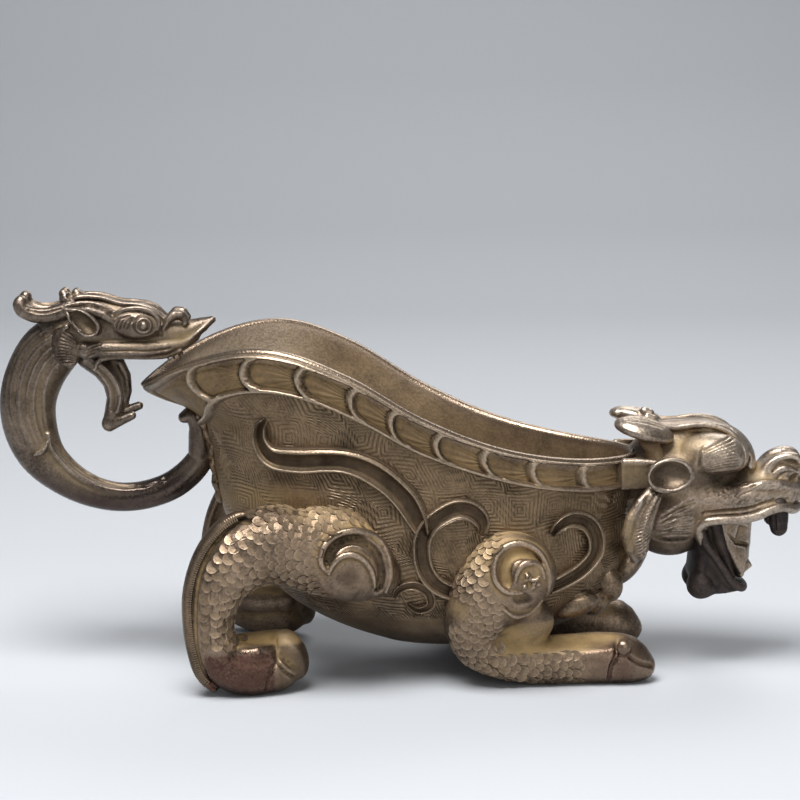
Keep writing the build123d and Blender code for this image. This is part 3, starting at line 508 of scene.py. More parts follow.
frontScroll = [(29.2, 30.2, 0.6), (30.6, 31.8, 1.2), (33.4, 33.0, 1.7), (36.4, 32.0, 1.8), (38.3, 28.8, 1.8),
               (38.2, 25.6, 1.8), (35.8, 22.8, 1.8), (32.0, 20.7, 1.7), (28.6, 19.4, 1.4)]
bellyTendril = [(-1.6, 18.4, 0.4), (-0.6, 20.2, 0.8), (2.4, 21.2, 1.0), (5.4, 19.2, 1.0), (5.6, 16.9, 0.9),
                (3.2, 15.9, 0.7), (1.2, 17.2, 0.4)]


def layStrap(path, profile, lift=1.0):
    rows = spaced(path, int(40 / strapLook["step"]), 2)
    along = unit(np.gradient(rows[:, :2], axis=0))
    side = np.stack([-along[:, 1], along[:, 0]], 1)
    cross = np.linspace(-1, 1, 41)
    where = rows[:, None, :2] + side[:, None] * (cross[None, :, None] * rows[:, None, 2:3])
    ends = ease(np.arange(len(rows)), -0.5, 4) * ease(len(rows) - np.arange(len(rows)), 0, 4)
    height = hermite(*zip(*strapLook[profile]), cross)[None] * np.ones((len(rows), 1))
    height = np.where(height > 0, height * lift * ends[:, None], height)
    x, z = where[..., 0], where[..., 1]
    wall = wallOut(x, z)
    face = np.stack([x, -(wall + height), z], -1)
    back = np.stack([x, -(wall + strapLook["under"]), z], -1)
    points, faces = closedSheets(face, back)
    marks = wear(points, faces, 5, 30, 0.2, 0.6, 0.2)
    spread = np.tile(abs(cross), 2 * len(rows))
    channel = ease(strapLook["channel"] - spread, 0, 0.1)
    ridge = ease(spread, strapLook["channel"] - 0.06, strapLook["channel"] + 0.04)
    ridge = ridge * ease(0.99 - spread, 0, 0.06)
    # the hollow is painted dark as shade and the outer edges carry a painted shadow line; the ridges are
    # lighter, partly rubbed wear and partly a painted highlight
    marks["earth"] += 0.15 * ridge - 0.2 * channel
    marks["line"] = 0.6 * channel + 0.8 * ease(spread, 0.95, 0.985)
    marks["rubAndHighlight"] = 0.5 * ridge * np.clip(1 + marks["rubAndHighlight"], 0, 2)
    return points, faces, marks


for strapName, strapPath, strapNode, strapEdge in (
        ("wingStrap", wingStrap, "wing_strap", "cove"),
        ("rearScroll", rearScroll, "rear_scroll", "evenEdges"),
        ("frontScroll", frontScroll, "front_scroll", "evenEdges"),
        ("bellyTendril", bellyTendril, "", "evenEdges")):
    strapPoints, strapFaces, strapMarks = layStrap(strapPath, strapEdge, 1.0 if strapNode else 0.6)
    bothSides(strapName, strapPoints, strapFaces, bowlFinish, strapNode, strapMarks, 60)
print("straps and scrolls ready")

farMm, marginMm = 6.0, 1.2  # distance where there is no clay yet, and room kept round each form that is added


def turned(degrees):
    return math.cos(math.radians(degrees)), math.sin(math.radians(degrees))


class Clay:  # modelling clay: a grid of distances to the surface, below zero inside
    def __init__(self, low, high, step):
        self.low, self.step = np.array(low, float), step
        counts = np.ceil((np.array(high, float) - self.low) / step).astype(int) + 1
        self.axes = [(self.low[k] + step * np.arange(counts[k])).astype(np.float32) for k in range(3)]
        self.field = np.full(counts, farMm, np.float32)

    def part(self, low, high):  # the grid inside a box
        cuts = []
        for k in range(3):
            a = int(np.clip((low[k] - self.low[k]) / self.step, 0, self.field.shape[k] - 1))
            b = int(np.clip((high[k] - self.low[k]) / self.step + 2, a + 1, self.field.shape[k]))
            cuts.append(slice(a, b))
        x, y, z = (self.axes[k][cuts[k]] for k in range(3))
        return tuple(cuts), x[:, None, None], y[None, :, None], z[None, None, :]

    def blend(self, cuts, form, soft, cut):
        old = -self.field[cuts] if cut else self.field[cuts]
        near = np.maximum(soft - abs(old - form), 0)
        joined = np.minimum(old, form) - near * near / (4 * soft)
        self.field[cuts] = -joined if cut else joined

    def stroke(self, rows, soft=0.6, cut=False):  # rows: x, y, z, radius, width along y as a share of it
        rows = np.asarray(rows, np.float32)
        if rows.shape[1] == 4:
            rows = np.c_[rows, np.ones(len(rows), np.float32)]
        wide = rows[:, 3] * np.maximum(rows[:, 4], 1) + marginMm + soft
        cuts, *_ = self.part(rows[:, :3].min(0) - wide.max(), rows[:, :3].max(0) + wide.max())
        form = np.full(self.field[cuts].shape, farMm, np.float32)
        for i in range(len(rows) - 1):
            a, b, reach = rows[i], rows[i + 1], max(wide[i], wide[i + 1])
            inner, x, y, z = self.part(np.minimum(a, b)[:3] - reach, np.maximum(a, b)[:3] + reach)
            spot = tuple(slice(s.start - c.start, s.stop - c.start) for s, c in zip(inner, cuts))
            run = b[:3] - a[:3]
            t = (x - a[0]) * run[0] + (y - a[1]) * run[1] + (z - a[2]) * run[2]
            t = np.clip(t / max(float((run ** 2).sum()), 1e-6), 0, 1)
            radius, flat = a[3] + t * (b[3] - a[3]), a[4] + t * (b[4] - a[4])
            away = (x - a[0] - t * run[0]) ** 2 + (z - a[2] - t * run[2]) ** 2
            away = np.sqrt(away + ((y - a[1] - t * run[1]) / flat) ** 2) - radius
            np.minimum(form[spot], away, out=form[spot])
        self.blend(cuts, form, soft, cut)

    # egg shape, turned in the side view and leaning outwards
    def ball(self, centre, half, turn=0.0, soft=0.6, cut=False, lean=0.0):
        reach = max(half) + marginMm + soft
        cuts, x, y, z = self.part(np.array(centre) - reach, np.array(centre) + reach)
        (c, s), (d, e) = turned(turn), turned(lean)
        up = (z - centre[2]) * d - (y - centre[1]) * e
        r = (y - centre[1]) * d + (z - centre[2]) * e
        p, q = (x - centre[0]) * c + up * s, up * c - (x - centre[0]) * s
        share = np.sqrt((p / half[0]) ** 2 + (r / half[1]) ** 2 + (q / half[2]) ** 2)
        slope = np.sqrt((p / half[0] ** 2) ** 2 + (r / half[1] ** 2) ** 2 + (q / half[2] ** 2) ** 2)
        self.blend(cuts, (share * (share - 1) / np.maximum(slope, 1e-6)).astype(np.float32), soft, cut)

    def slab(self, centre, half, turn=0.0, edge=0.4, soft=0.4, cut=False):  # block with soft edges
        reach = float(np.linalg.norm(half)) + marginMm + soft
        cuts, x, y, z = self.part(np.array(centre) - reach, np.array(centre) + reach)
        c, s = turned(turn)
        p, q = (x - centre[0]) * c + (z - centre[2]) * s, (z - centre[2]) * c - (x - centre[0]) * s
        gaps = [abs(v) - h + edge for v, h in zip((p, y - centre[1], q), half)]
        out = np.sqrt(sum(np.maximum(g, 0) ** 2 for g in gaps))
        form = out + np.minimum(np.maximum(np.maximum(gaps[0], gaps[1]), gaps[2]), 0) - edge
        self.blend(cuts, form.astype(np.float32), soft, cut)

    def front(self, x, z):  # y of the right-hand surface at places seen from the side
        i = np.clip(np.rint((x - self.low[0]) / self.step).astype(int), 0, self.field.shape[0] - 1)
        k = np.clip(np.rint((z - self.low[2]) / self.step).astype(int), 0, self.field.shape[2] - 1)
        column = self.field[i, :, k]
        first = np.maximum((column < 0).argmax(1), 1)
        rows = np.arange(len(i))
        a, b = column[rows, first - 1], column[rows, first]
        y = self.axes[1][first - 1] + self.step * a / np.where(a > b, a - b, 1)
        return np.where((column < 0).any(1), y, np.nan)

    # ridge or groove on the right-hand side; x, z, radius
    def line(self, path, lift=0.0, soft=0.25, cut=False):
        path = np.asarray(path, float)
        length = np.linalg.norm(np.diff(path[:, :2], axis=0), axis=1).sum()
        rows = spaced(path, max(5, int(length / 0.45)), 2)
        y = self.front(rows[:, 0], rows[:, 1])
        good = np.isfinite(y)
        if good.any():
            y = np.interp(np.arange(len(y)), np.flatnonzero(good), y[good])
            y = np.convolve(np.pad(y, 2, mode="edge"), np.full(5, 0.2), "valid")
            self.stroke(np.c_[rows[:, 0], y - lift, rows[:, 1], rows[:, 2]], soft, cut)

    def groove(self, path, soft):  # half a stroke deep
        self.line(path, 0.0, soft, True)

    def sample(self, places):  # distances at any places
        p = (places - self.low) / self.step
        base = np.clip(np.floor(p).astype(int), 0, np.array(self.field.shape) - 2)
        f = np.clip(p - base, 0, 1)
        total = 0.0
        for i, j, k in np.ndindex(2, 2, 2):
            weight = abs(1 - i - f[..., 0]) * abs(1 - j - f[..., 1]) * abs(1 - k - f[..., 2])
            total = total + weight * self.field[base[..., 0] + i, base[..., 1] + j, base[..., 2] + k]
        return total

    # where rays from inside leave the clay, and which way its surface looks
    def meet(self, starts, ways, reach):
        stride = 0.15
        steps = np.arange(0, reach, stride)
        depth = self.sample(starts[None] + ways[None] * steps[:, None, None])
        leaves = (depth[:-1] < 0) & (depth[1:] >= 0)
        i, rows = leaves.argmax(0), np.arange(len(starts))
        share = depth[i, rows] / np.where(leaves.any(0), depth[i, rows] - depth[i + 1, rows], 1)
        places = starts + ways * (steps[i] + stride * share)[:, None]
        slope = np.stack([self.sample(places + d) - self.sample(places - d) for d in np.eye(3) * 0.5], -1)
        return places, unit(slope), leaves.any(0)

    def trim(self, depth, table=True):  # keep out of the bowl's room, and off the underside of the table
        x, y, z = (axis.astype(float) for axis in self.axes)
        wall = wallOut(x[:, None], z[None]) - depth
        wall = np.where(z[None] > rimHeight(np.clip(x, -58, 55))[:, None] + 0.4, noWall, wall)
        self.field = np.maximum(self.field, (wall[:, None] - abs(y)[None, :, None])).astype(np.float32)
        if table:
            self.field = np.maximum(self.field, -z[None, None].astype(np.float32))

    def skin(self, mirrored):  # quads of the surface
        field = np.concatenate([self.field, self.field[:, -2::-1]], 1) if mirrored else self.field
        field = np.pad(field, 1, constant_values=1.0)
        inside = field < 0
        n = np.array(field.shape) - 1
        count = np.zeros(n, np.int8)
        for i, j, k in np.ndindex(2, 2, 2):
            count += inside[i:n[0] + i, j:n[1] + j, k:n[2] + k]
        cells = np.argwhere((count > 0) & (count < 8))
        number = np.full(n, -1, np.int32)
        number[tuple(cells.T)] = np.arange(len(cells))
        total, hits = np.zeros((len(cells), 3)), np.zeros(len(cells))
        for axis in range(3):
            ahead = np.eye(3, dtype=int)[axis]
            for pair in np.ndindex(2, 2):
                corner = np.insert(pair, axis, 0)
                a, b = field[tuple((cells + corner).T)], field[tuple((cells + corner + ahead).T)]
                hit = (a < 0) != (b < 0)
                share = np.where(hit, a / np.where(hit, a - b, 1), 0)
                total += hit[:, None] * (corner + share[:, None] * ahead)
                hits += hit
        points = self.low + self.step * (cells - 1 + total / hits[:, None])
        quads = []
        for axis in range(3):
            p, q = [k for k in range(3) if k != axis]
            low, high = [slice(1, -1)] * 3, [slice(1, -1)] * 3
            low[axis], high[axis] = slice(0, -1), slice(1, None)
            base = np.argwhere(inside[tuple(low)] != inside[tuple(high)])
            base[:, [p, q]] += 1
            ring = []
            for i, j in ((-1, -1), (0, -1), (0, 0), (-1, 0)):
                cell = base.copy()
                cell[:, p] += i
                cell[:, q] += j
                ring.append(number[tuple(cell.T)])
            ring = np.stack(ring, 1)
            turn = inside[tuple(base.T)] != (axis == 1)
            ring[turn] = ring[turn][:, ::-1]
            quads.append(ring)
        return points, [np.concatenate(quads)]

    def cast(self, mirrored, fine=6, lineMm=0.1, earthMm=0.25, dust=0.15):  # the skin with its wear
        points, faces = self.skin(mirrored)
        return points, faces, wear(points, faces, fine, 40, lineMm, earthMm, dust)


# Small raised tiles, a few dozen faces each, set out on points by a node tree
def tileObject(name, outline, rise, dome):  # outline rows x, y; rise and dome heights as shares
    ring = np.array(outline, float)
    n = len(ring)
    lift = rise[0] + (rise[1] - rise[0]) * ring[:, 0]
    inner = ring * (0.72, 0.66) + (0.16, 0)
    points = np.concatenate([np.c_[ring, np.full(n, -0.7)], np.c_[ring, lift],
                             np.c_[inner, lift + dome], [[0.55, 0, lift.mean() + dome * 1.3]]])
    faces = [list(range(n))[::-1]]
    for i in range(n):
        j = (i + 1) % n
        faces += [[i, j, n + j, n + i], [n + i, n + j, 2 * n + j, 2 * n + i], [2 * n + i, 2 * n + j, 3 * n]]
    mesh = bpy.data.meshes.new(name)
    mesh.from_pydata(points.tolist(), [], faces)
    mesh.polygons.foreach_set("use_smooth", np.ones(len(faces), bool))
    start = np.clip((0.62 - points[n:, 0]) / 0.2, 0, 1)  # the end that lies under the tile before it, painted dark as its shadow
    # the rim grows brighter towards the free end, partly rubbed wear and partly a painted highlight
    marks = dict(earth=np.r_[np.full(2 * n, 0.1), np.full(n + 1, 0.2)],
                 line=np.r_[np.full(n, 0.95), 0.85 * start],
                 rubAndHighlight=np.r_[np.zeros(n), np.clip(ring[:, 0], 0, 1) * 0.9, np.full(n + 1, 0.25)])
    for key, value in marks.items():
        mesh.attributes.new(key, "FLOAT", "POINT").data.foreach_set("value", value.astype(np.float32))
    return addObject(name, mesh)


def scatterTree():
    tree = bpy.data.node_groups.new("tilesOnPoints", "GeometryNodeTree")
    for name, kind in (("Points", "Geometry"), ("Tile", "Object"), ("Length", "Float"), ("Width", "Float"),
                       ("Height", "Float"), ("Finish", "Material")):
        tree.interface.new_socket(name, in_out="INPUT", socket_type="NodeSocket" + kind)
    tree.interface.new_socket("Tiles", in_out="OUTPUT", socket_type="NodeSocketGeometry")
    given = addNode(tree, "NodeGroupInput").outputs
    outward, along = (
        addNode(tree, "GeometryNodeInputNamedAttribute", {"Name": key}, data_type="FLOAT_VECTOR").outputs[0]
        for key in ("outward", "along"))
    size = addNode(tree, "GeometryNodeInputNamedAttribute", {"Name": "size"}, data_type="FLOAT").outputs[0]
    turn = addNode(tree, "FunctionNodeAxesToRotation", {0: outward, 1: along}, primary_axis="Z",
                   secondary_axis="X")
    sizes = addNode(tree, "ShaderNodeCombineXYZ", {0: given["Length"], 1: given["Width"], 2: given["Height"]})
    sized = addNode(tree, "ShaderNodeVectorMath", {0: sizes.outputs[0], "Scale": size}, operation="SCALE")
    tile = addNode(tree, "GeometryNodeObjectInfo", {"Object": given["Tile"], "As Instance": True})
    spread = addNode(tree, "GeometryNodeInstanceOnPoints", {
        "Points": given["Points"], "Instance": tile.outputs["Geometry"], "Rotation": turn.outputs[0],
        "Scale": sized.outputs[0]})
    solid = addNode(tree, "GeometryNodeRealizeInstances", {"Geometry": spread.outputs[0]})
    dressed = addNode(tree, "GeometryNodeSetMaterial", {
        "Geometry": solid.outputs[0], "Material": given["Finish"]})
    addNode(tree, "NodeGroupOutput", {0: dressed.outputs[0]})
    return tree


tilesOnPoints = scatterTree()


# A pair of tiled pieces, right and left; sizes are length, width and height in mm
def setTiles(name, tile, places, outward, along, size, sizes, material, dust=None):
    cloud = bpy.data.meshes.new(name + "Points")
    cloud.from_pydata((places * mm).tolist(), [], [])
    for key, value in (("outward", outward), ("along", along)):
        layer = cloud.attributes.new(key, "FLOAT_VECTOR", "POINT")
        layer.data.foreach_set("vector", value.astype(np.float32).ravel())
    cloud.attributes.new("size", "FLOAT", "POINT").data.foreach_set("value", size.astype(np.float32))
    holder = addObject(name + "Points", cloud)
    spread = holder.modifiers.new("tiles", "NODES")
    spread.node_group = tilesOnPoints
    wanted = {"Tile": tile, "Length": sizes[0] * mm, "Width": sizes[1] * mm, "Height": sizes[2] * mm,
              "Finish": material}
    for socket in tilesOnPoints.interface.items_tree:
        if socket.in_out == "INPUT" and socket.name in wanted:
            spread[socket.identifier] = wanted[socket.name]
    made = bpy.data.meshes.new_from_object(holder.evaluated_get(bpy.context.evaluated_depsgraph_get()))
    holder.modifiers.remove(spread)
    bpy.data.objects.remove(holder)
    if dust:
        spots, earth = np.empty(3 * len(made.vertices), np.float32), np.empty(len(made.vertices), np.float32)
        made.vertices.foreach_get("co", spots)
        made.attributes["earth"].data.foreach_get("value", earth)
        earth = np.clip(earth + dust(spots.reshape(-1, 3) / mm), 0, 1)
        made.attributes["earth"].data.foreach_set("value", earth.astype(np.float32))
    for side in ("Right", "Left"):
        mesh = made if side == "Right" else made.copy()
        if side == "Left":
            mesh.transform(Matrix.Diagonal((1, -1, 1, 1)))
            mesh.flip_normals()
        mesh.set_sharp_from_angle(angle=math.radians(45))
        piece = addObject(name + side, mesh)
        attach(piece, "root")


roundEnd = [(0.5 + 0.5 * math.cos(a), 0.5 * math.sin(a)) for a in np.radians(np.linspace(-90, 90, 7))[1:-1]]
scaleTile = tileObject("scaleTile", [(0.0, 0.36), (0.0, -0.36), (0.5, -0.5), *roundEnd, (0.5, 0.5)],
                       (-0.3, 0.75), -0.22)
ribTile = tileObject("ribTile", [(0, -0.5), (1, -0.5), (1, 0.5), (0, 0.5)], (0.3, 0.3), 0.25)


def evenPlaces(starts, pool, pitch):  # fills a patch of surface points evenly, beginning with rough places
    seeds = []
    for place in starts:
        if not seeds or np.linalg.norm(np.array(seeds) - place, axis=1).min() > 0.8 * pitch:
            seeds.append(place)
    reach = np.min([np.linalg.norm(pool - seed, axis=1) for seed in seeds], 0)
    while reach.max() > 0.92 * pitch:
        seeds.append(pool[reach.argmax()])
        reach = np.minimum(reach, np.linalg.norm(pool - seeds[-1], axis=1))
    seeds = np.array(seeds)
    for _ in range(9):
        apart = ((pool[:, None] - seeds[None]) ** 2).sum(-1)
        owner = apart.argmin(1)
        count = np.bincount(owner, minlength=len(seeds))
        used = count > 0
        total = np.stack([np.bincount(owner, pool[:, k], len(seeds)) for k in range(3)], 1)
        seeds = total[used] / count[used, None]
    return np.unique(((pool[:, None] - seeds[None]) ** 2).sum(-1).argmin(0))


# Places for scales on a limb, which way they look and where they point
def limbScales(points, faces, body, keep, pitch):
    path = spaced(body, 300)
    tangent = unit(np.gradient(path[:, :3], axis=0))
    outside = -points[:, 1] > wallOut(points[:, 0], points[:, 2]) + 0.3
    pick = np.flatnonzero(outside & keep(points))[::3]
    pool, outward = points[pick], pointNormals(points, facesOut(points, faces))[pick]
    nearest = ((pool[:, None] - path[None, ::3, :3]) ** 2).sum(-1).argmin(1) * 3
    run = runAlong(path[:, :3])[nearest]
    rows = np.rint(run / (0.87 * pitch)).astype(int)
    order = np.lexsort((outward[:, 1], rows))
    chosen = evenPlaces(pool[order][:: max(1, len(pool) // 900)], pool, pitch)
    along = tangent[nearest[chosen]]
    along = along - outward[chosen] * (along * outward[chosen]).sum(1, keepdims=True)
    return pool[chosen], outward[chosen], unit(along)


# Hind leg: scaled thigh and shank, ribbed fin down the back, comma scroll on the haunch, rubbed paw
hindLeg = dict(
    step=0.26,
    body=[(-4.6, -21.8, 23.6, 4.6, 0.75), (-9, -22.8, 25.6, 7.2, 0.8), (-14, -23.4, 27.0, 7.3, 0.8),
          (-20, -24.0, 28.6, 7.0, 0.82), (-26.4, -24.4, 29.4, 6.9, 0.8), (-31.6, -24.8, 26.8, 6.2, 0.84),
          (-35.0, -24.8, 22.0, 5.0, 0.98), (-36.3, -24.8, 17, 4.2, 1.12), (-36.3, -24.8, 11.6, 4.1, 1.16),
          (-34.8, -24.4, 7.2, 4.8, 1.0), (-30, -23.4, 4.8, 5.1, 0.95), (-25, -21.6, 5.0, 5.2, 0.9)],
    fin=[(-27.4, 35.2, 0.25), (-30.4, 36.2, 0.6), (-33.4, 34.9, 1.0), (-36.4, 32.0, 1.2), (-38.8, 28.2, 1.2),
         (-40.3, 24.2, 1.2), (-41.1, 20.2, 1.2), (-41.1, 14.6, 1.2), (-40.4, 9.4, 1.2), (-38.6, 4.0, 1.1),
         (-36.4, 1.6, 0.8)],
    finGroove=[(-29.0, 35.0), (-32.0, 34.4), (-35.2, 31.2), (-37.6, 27.4), (-38.8, 23.8), (-39.4, 19.6),
               (-39.6, 13.7), (-39.0, 8.6), (-37.2, 3.4)],
    outerRidge=[(-13.9, 25.3), (-15.3, 27.4), (-15.1, 30.0), (-13.4, 32.0), (-11.2, 32.9), (-8.6, 33.0),
                (-5.8, 32.0), (-3.6, 29.9), (-2.4, 27.0), (-2.2, 23.6), (-3.0, 20.6)],
    innerRidge=[(-13.9, 25.4), (-12.9, 27.4), (-11.6, 28.6), (-9.8, 29.0), (-7.9, 28.4), (-6.4, 26.9),
                (-5.4, 24.6), (-5.1, 22.2)],
    channel=[(-14.0, 27.8), (-13.4, 29.7), (-12.0, 31.0), (-10.1, 31.6), (-7.8, 31.3), (-5.5, 29.9),
             (-4.1, 27.6), (-3.7, 24.8), (-4.1, 21.6)],
    finY=-25.2, scalePitch=1.9, scaleSize=(2.75, 2.5, 0.46), ribs=96, ribSize=(1.5, 0.24, 0.12))


def buildHindLeg():
    clay = Clay((-46, -33, -0.6), (3, -13, 40), hindLeg["step"])
    clay.stroke(spaced(hindLeg["body"], 40), 0.8)
    clay.ball((-14.5, -22.8, 30.0), (9.5, 4.6, 7.0), 0, 1.2)  # thigh runs level up to the scroll
    clay.ball((-24.0, -23.0, 30.6), (8.0, 4.6, 6.6), 0, 1.2)
    clay.stroke([(-34.4, -20.8, 8.0, 3.0, 1.1), (-29.0, -19.6, 8.0, 3.2, 1.1), (-24.6, -18.8, 8.4, 3.2, 1.1)],
                1.0)  # inner side of the foot
    clay.ball((-21.6, -20.8, 7.2), (3.2, 4.2, 5.2), 22, 0.8)  # toe block
    clay.slab((-20.2, -26.4, 9.0), (5.0, 2.0, 3.4), -40, 0.6, 0.8, True)  # its flat facet
    clay.slab((-22.0, -22.0, -0.9), (9.0, 9.0, 1.6), 9, 0.4, 0.6, True)  # sole lifts towards the toes
    fin = spaced(hindLeg["fin"], 44, 2)
    clay.stroke(thick(atY(fin, hindLeg["finY"]), 1.9), 0.6)
    clay.groove(even(hindLeg["finGroove"], 0.42), 0.2)
    clay.groove(even(hindLeg["channel"], 1.05), 0.3)
    clay.ball((-9.4, -31.0, 23.4), (4.3, 2.9, 4.9), 0, 0.9, True)
    clay.line(tapered(hindLeg["outerRidge"], 0.75), 0.1, 0.3)
    clay.line(tapered(hindLeg["innerRidge"], 0.62), 0.2, 0.25)
    clay.stroke([(-34.6, -26.0, 7.9, 0.9), (-31.4, -26.1, 8.5, 1.3), (-28.0, -25.6, 8.8, 1.3),
                 (-25.4, -24.6, 8.8, 1.0)], 1.0)  # upper edge of the paw
    for path in ([(-24.4, 10.8, 0.3), (-24.0, 7.4, 0.35), (-22.6, 5.2, 0.35), (-20.8, 3.4, 0.3)],
                 [(-24.2, 7.0, 0.25), (-25.8, 3.6, 0.3), (-26.4, 0.8, 0.25)]):
        clay.groove(path, 0.3)
    clay.trim(0.9)
    points, faces, marks = clay.cast(False)
    x, y, z = points.T
    paw = ease(11.0 - z, 0, 2.6) * ease(-21.5 - y, 0, 3) * ease(-23.8 - x, 0, 1.2) * ease(x + 38.6, 0, 1.2)
    toes = ease(x + 24.4, 0, 1.0) * ease(11 - z, 0, 3)
    crook = softSpot(x, z, -28, 12.0, 6, 2.5) + ease(x + 35, 0, 3) * ease(z, 9.4, 10.4) * ease(14 - z, 0, 2)
    wall = ease(wallOut(x, z) + y, -5.5, -0.5) * ease(z, 28, 33)
    # beside the fin, painted darker as shade
    finSideShade = ease(1.5 - nearness(points, fin), 0, 0.5)
    groove = ease(1.2 - nearness(points, spaced(hindLeg["channel"], 40, 2)), 0, 0.5) * ease(-y, 24, 26)
    # round pocket on the haunch, painted dark as shade
    pocket = ease(5.6 - np.hypot(x + 9.4, z - 23.0), 0, 4.5) * ease(-y, 24, 26)
    under = ease(24 - z, 0, 6) * ease(x, -19, -12)  # lower side of the haunch, painted dark as shade
    marks["earth"] += (crook * 0.9 + wall * 1.1 + toes * 0.15 - finSideShade * 0.3 - paw
                       - 0.5 * groove - 0.4 * pocket)
    marks["line"] += (0.4 * finSideShade + 0.6 * groove + 0.5 * pocket + 0.5 * under
                      + toes * (0.6 + 0.3 * ease(x, -22, -18)))
    # the top edge of the paw is brighter, partly rubbed wear and partly a painted highlight
    marks["rubAndHighlight"] += 0.2 * ease(-y, 27, 30) - finSideShade * 0.5 - toes * 0.3 + paw * ease(z, 8.2, 9.2)
    marks["polish"] = paw
    bothSides("hindLeg", points, faces, legFinish, "hind_leg", marks, 60)

    edge = spaced(hindLeg["finGroove"], 60, 2)

    def keep(p):  # off the scroll, before the fin, on the outer side, down to the paw
        x, y, z = p.T
        scroll = np.hypot(x + 8.6, z - 26.2) > 7.7
        beforeFin = x > np.interp(z, edge[::-1, 1], edge[::-1, 0])
        facing = y < -21.5 + 2.5 * ease(x, -24, -20)
        above = (z > 10.6) & (x < -30) | (z > 20)
        return scroll & (x < -5.6) & (nearness(p, edge) > 1.2) & beforeFin & facing & above

    places, outward, along = limbScales(points, faces, hindLeg["body"], keep, hindLeg["scalePitch"])
    size = 0.96 + 0.08 * np.sin(places[:, 0] * 7.3 + places[:, 2] * 5.1)

    def dust(p):  # ochre where the thigh meets the wall
        x, y, z = p.T
        back = np.exp(-((x + 26) / 6) ** 2)
        return ease(wallOut(x, z) + y, -9.0, -3.0) * ease(z, 28, 33) * (0.5 + 0.5 * back)

    setTiles("hindLegScales", scaleTile, places - along * 1.2, outward, along, size, hindLeg["scaleSize"],
             legFinish, dust)
    path = spaced([p[:2] for p in hindLeg["fin"]], hindLeg["ribs"], 2)[10:-4]
    away = unit(np.gradient(path, axis=0))
    ribs = atY(path, hindLeg["finY"])
    sideways = np.c_[away[:, 1], np.zeros(len(path)), -away[:, 0]]
    spots, looks, good = clay.meet(ribs, np.tile((0.0, -1.0, 0.0), (len(ribs), 1)), 5.0)
    setTiles("hindFinRibs", ribTile, (spots + sideways * 0.7)[good], looks[good], -sideways[good],
             np.ones(good.sum()), hindLeg["ribSize"], legFinish)
    return len(places)


print("hind legs ready, scales on each:", buildHindLeg())

# Front leg: nested crescents on the shoulder, scaled arm folded under, smooth top, rubbed paw with a knob
frontLeg = dict(
    step=0.25,
    body=[(21.4, -20.8, 24.0, 7.4, 0.72), (18.4, -21.2, 20.6, 7.6, 0.72), (15.2, -20.8, 16.6, 6.4, 0.82),
          (13.8, -19.4, 12.6, 5.4, 0.94), (15.2, -18.0, 8.8, 4.9, 1.0), (19.6, -17.0, 6.2, 4.7, 1.04),
          (25.6, -15.8, 5.0, 4.8, 1.04), (33.0, -14.8, 4.8, 5.0, 1.02), (40.0, -14.4, 4.8, 5.2, 1.0),
          (44.6, -14.4, 4.3, 4.6, 1.04), (47.2, -14.4, 3.2, 3.0, 1.15)],
    elbowFin=[(12.6, 18.6, 1.0), (9.4, 16.9, 0.7), (10.0, 13.6, 0.8), (12.0, 10.0, 0.8), (15.2, 6.2, 0.8),
              (19.6, 3.2, 0.8), (25.0, 2.0, 0.6), (30.0, 1.5, 0.4)],
    outerRidge=[(23.2, 20.8), (20.2, 21.2), (18.3, 23.0), (17.7, 25.9), (18.9, 28.7), (21.4, 30.0),
                (23.9, 29.9), (26.3, 28.5), (27.9, 26.0), (28.5, 22.9), (28.2, 19.7)],
    innerRidge=[(21.9, 23.4), (22.3, 25.2), (23.4, 26.5), (25.0, 26.7), (26.7, 25.7), (27.6, 23.4)],
    channel=[(20.2, 23.2), (19.9, 25.6), (20.9, 27.7), (22.8, 28.5), (25.0, 28.3), (26.8, 26.9)],
    lowRidge=[(19.6, 17.6), (22.0, 15.9), (25.0, 16.2), (27.2, 18.6)],
    scalePitch=1.8, scaleSize=(2.6, 2.35, 0.4))


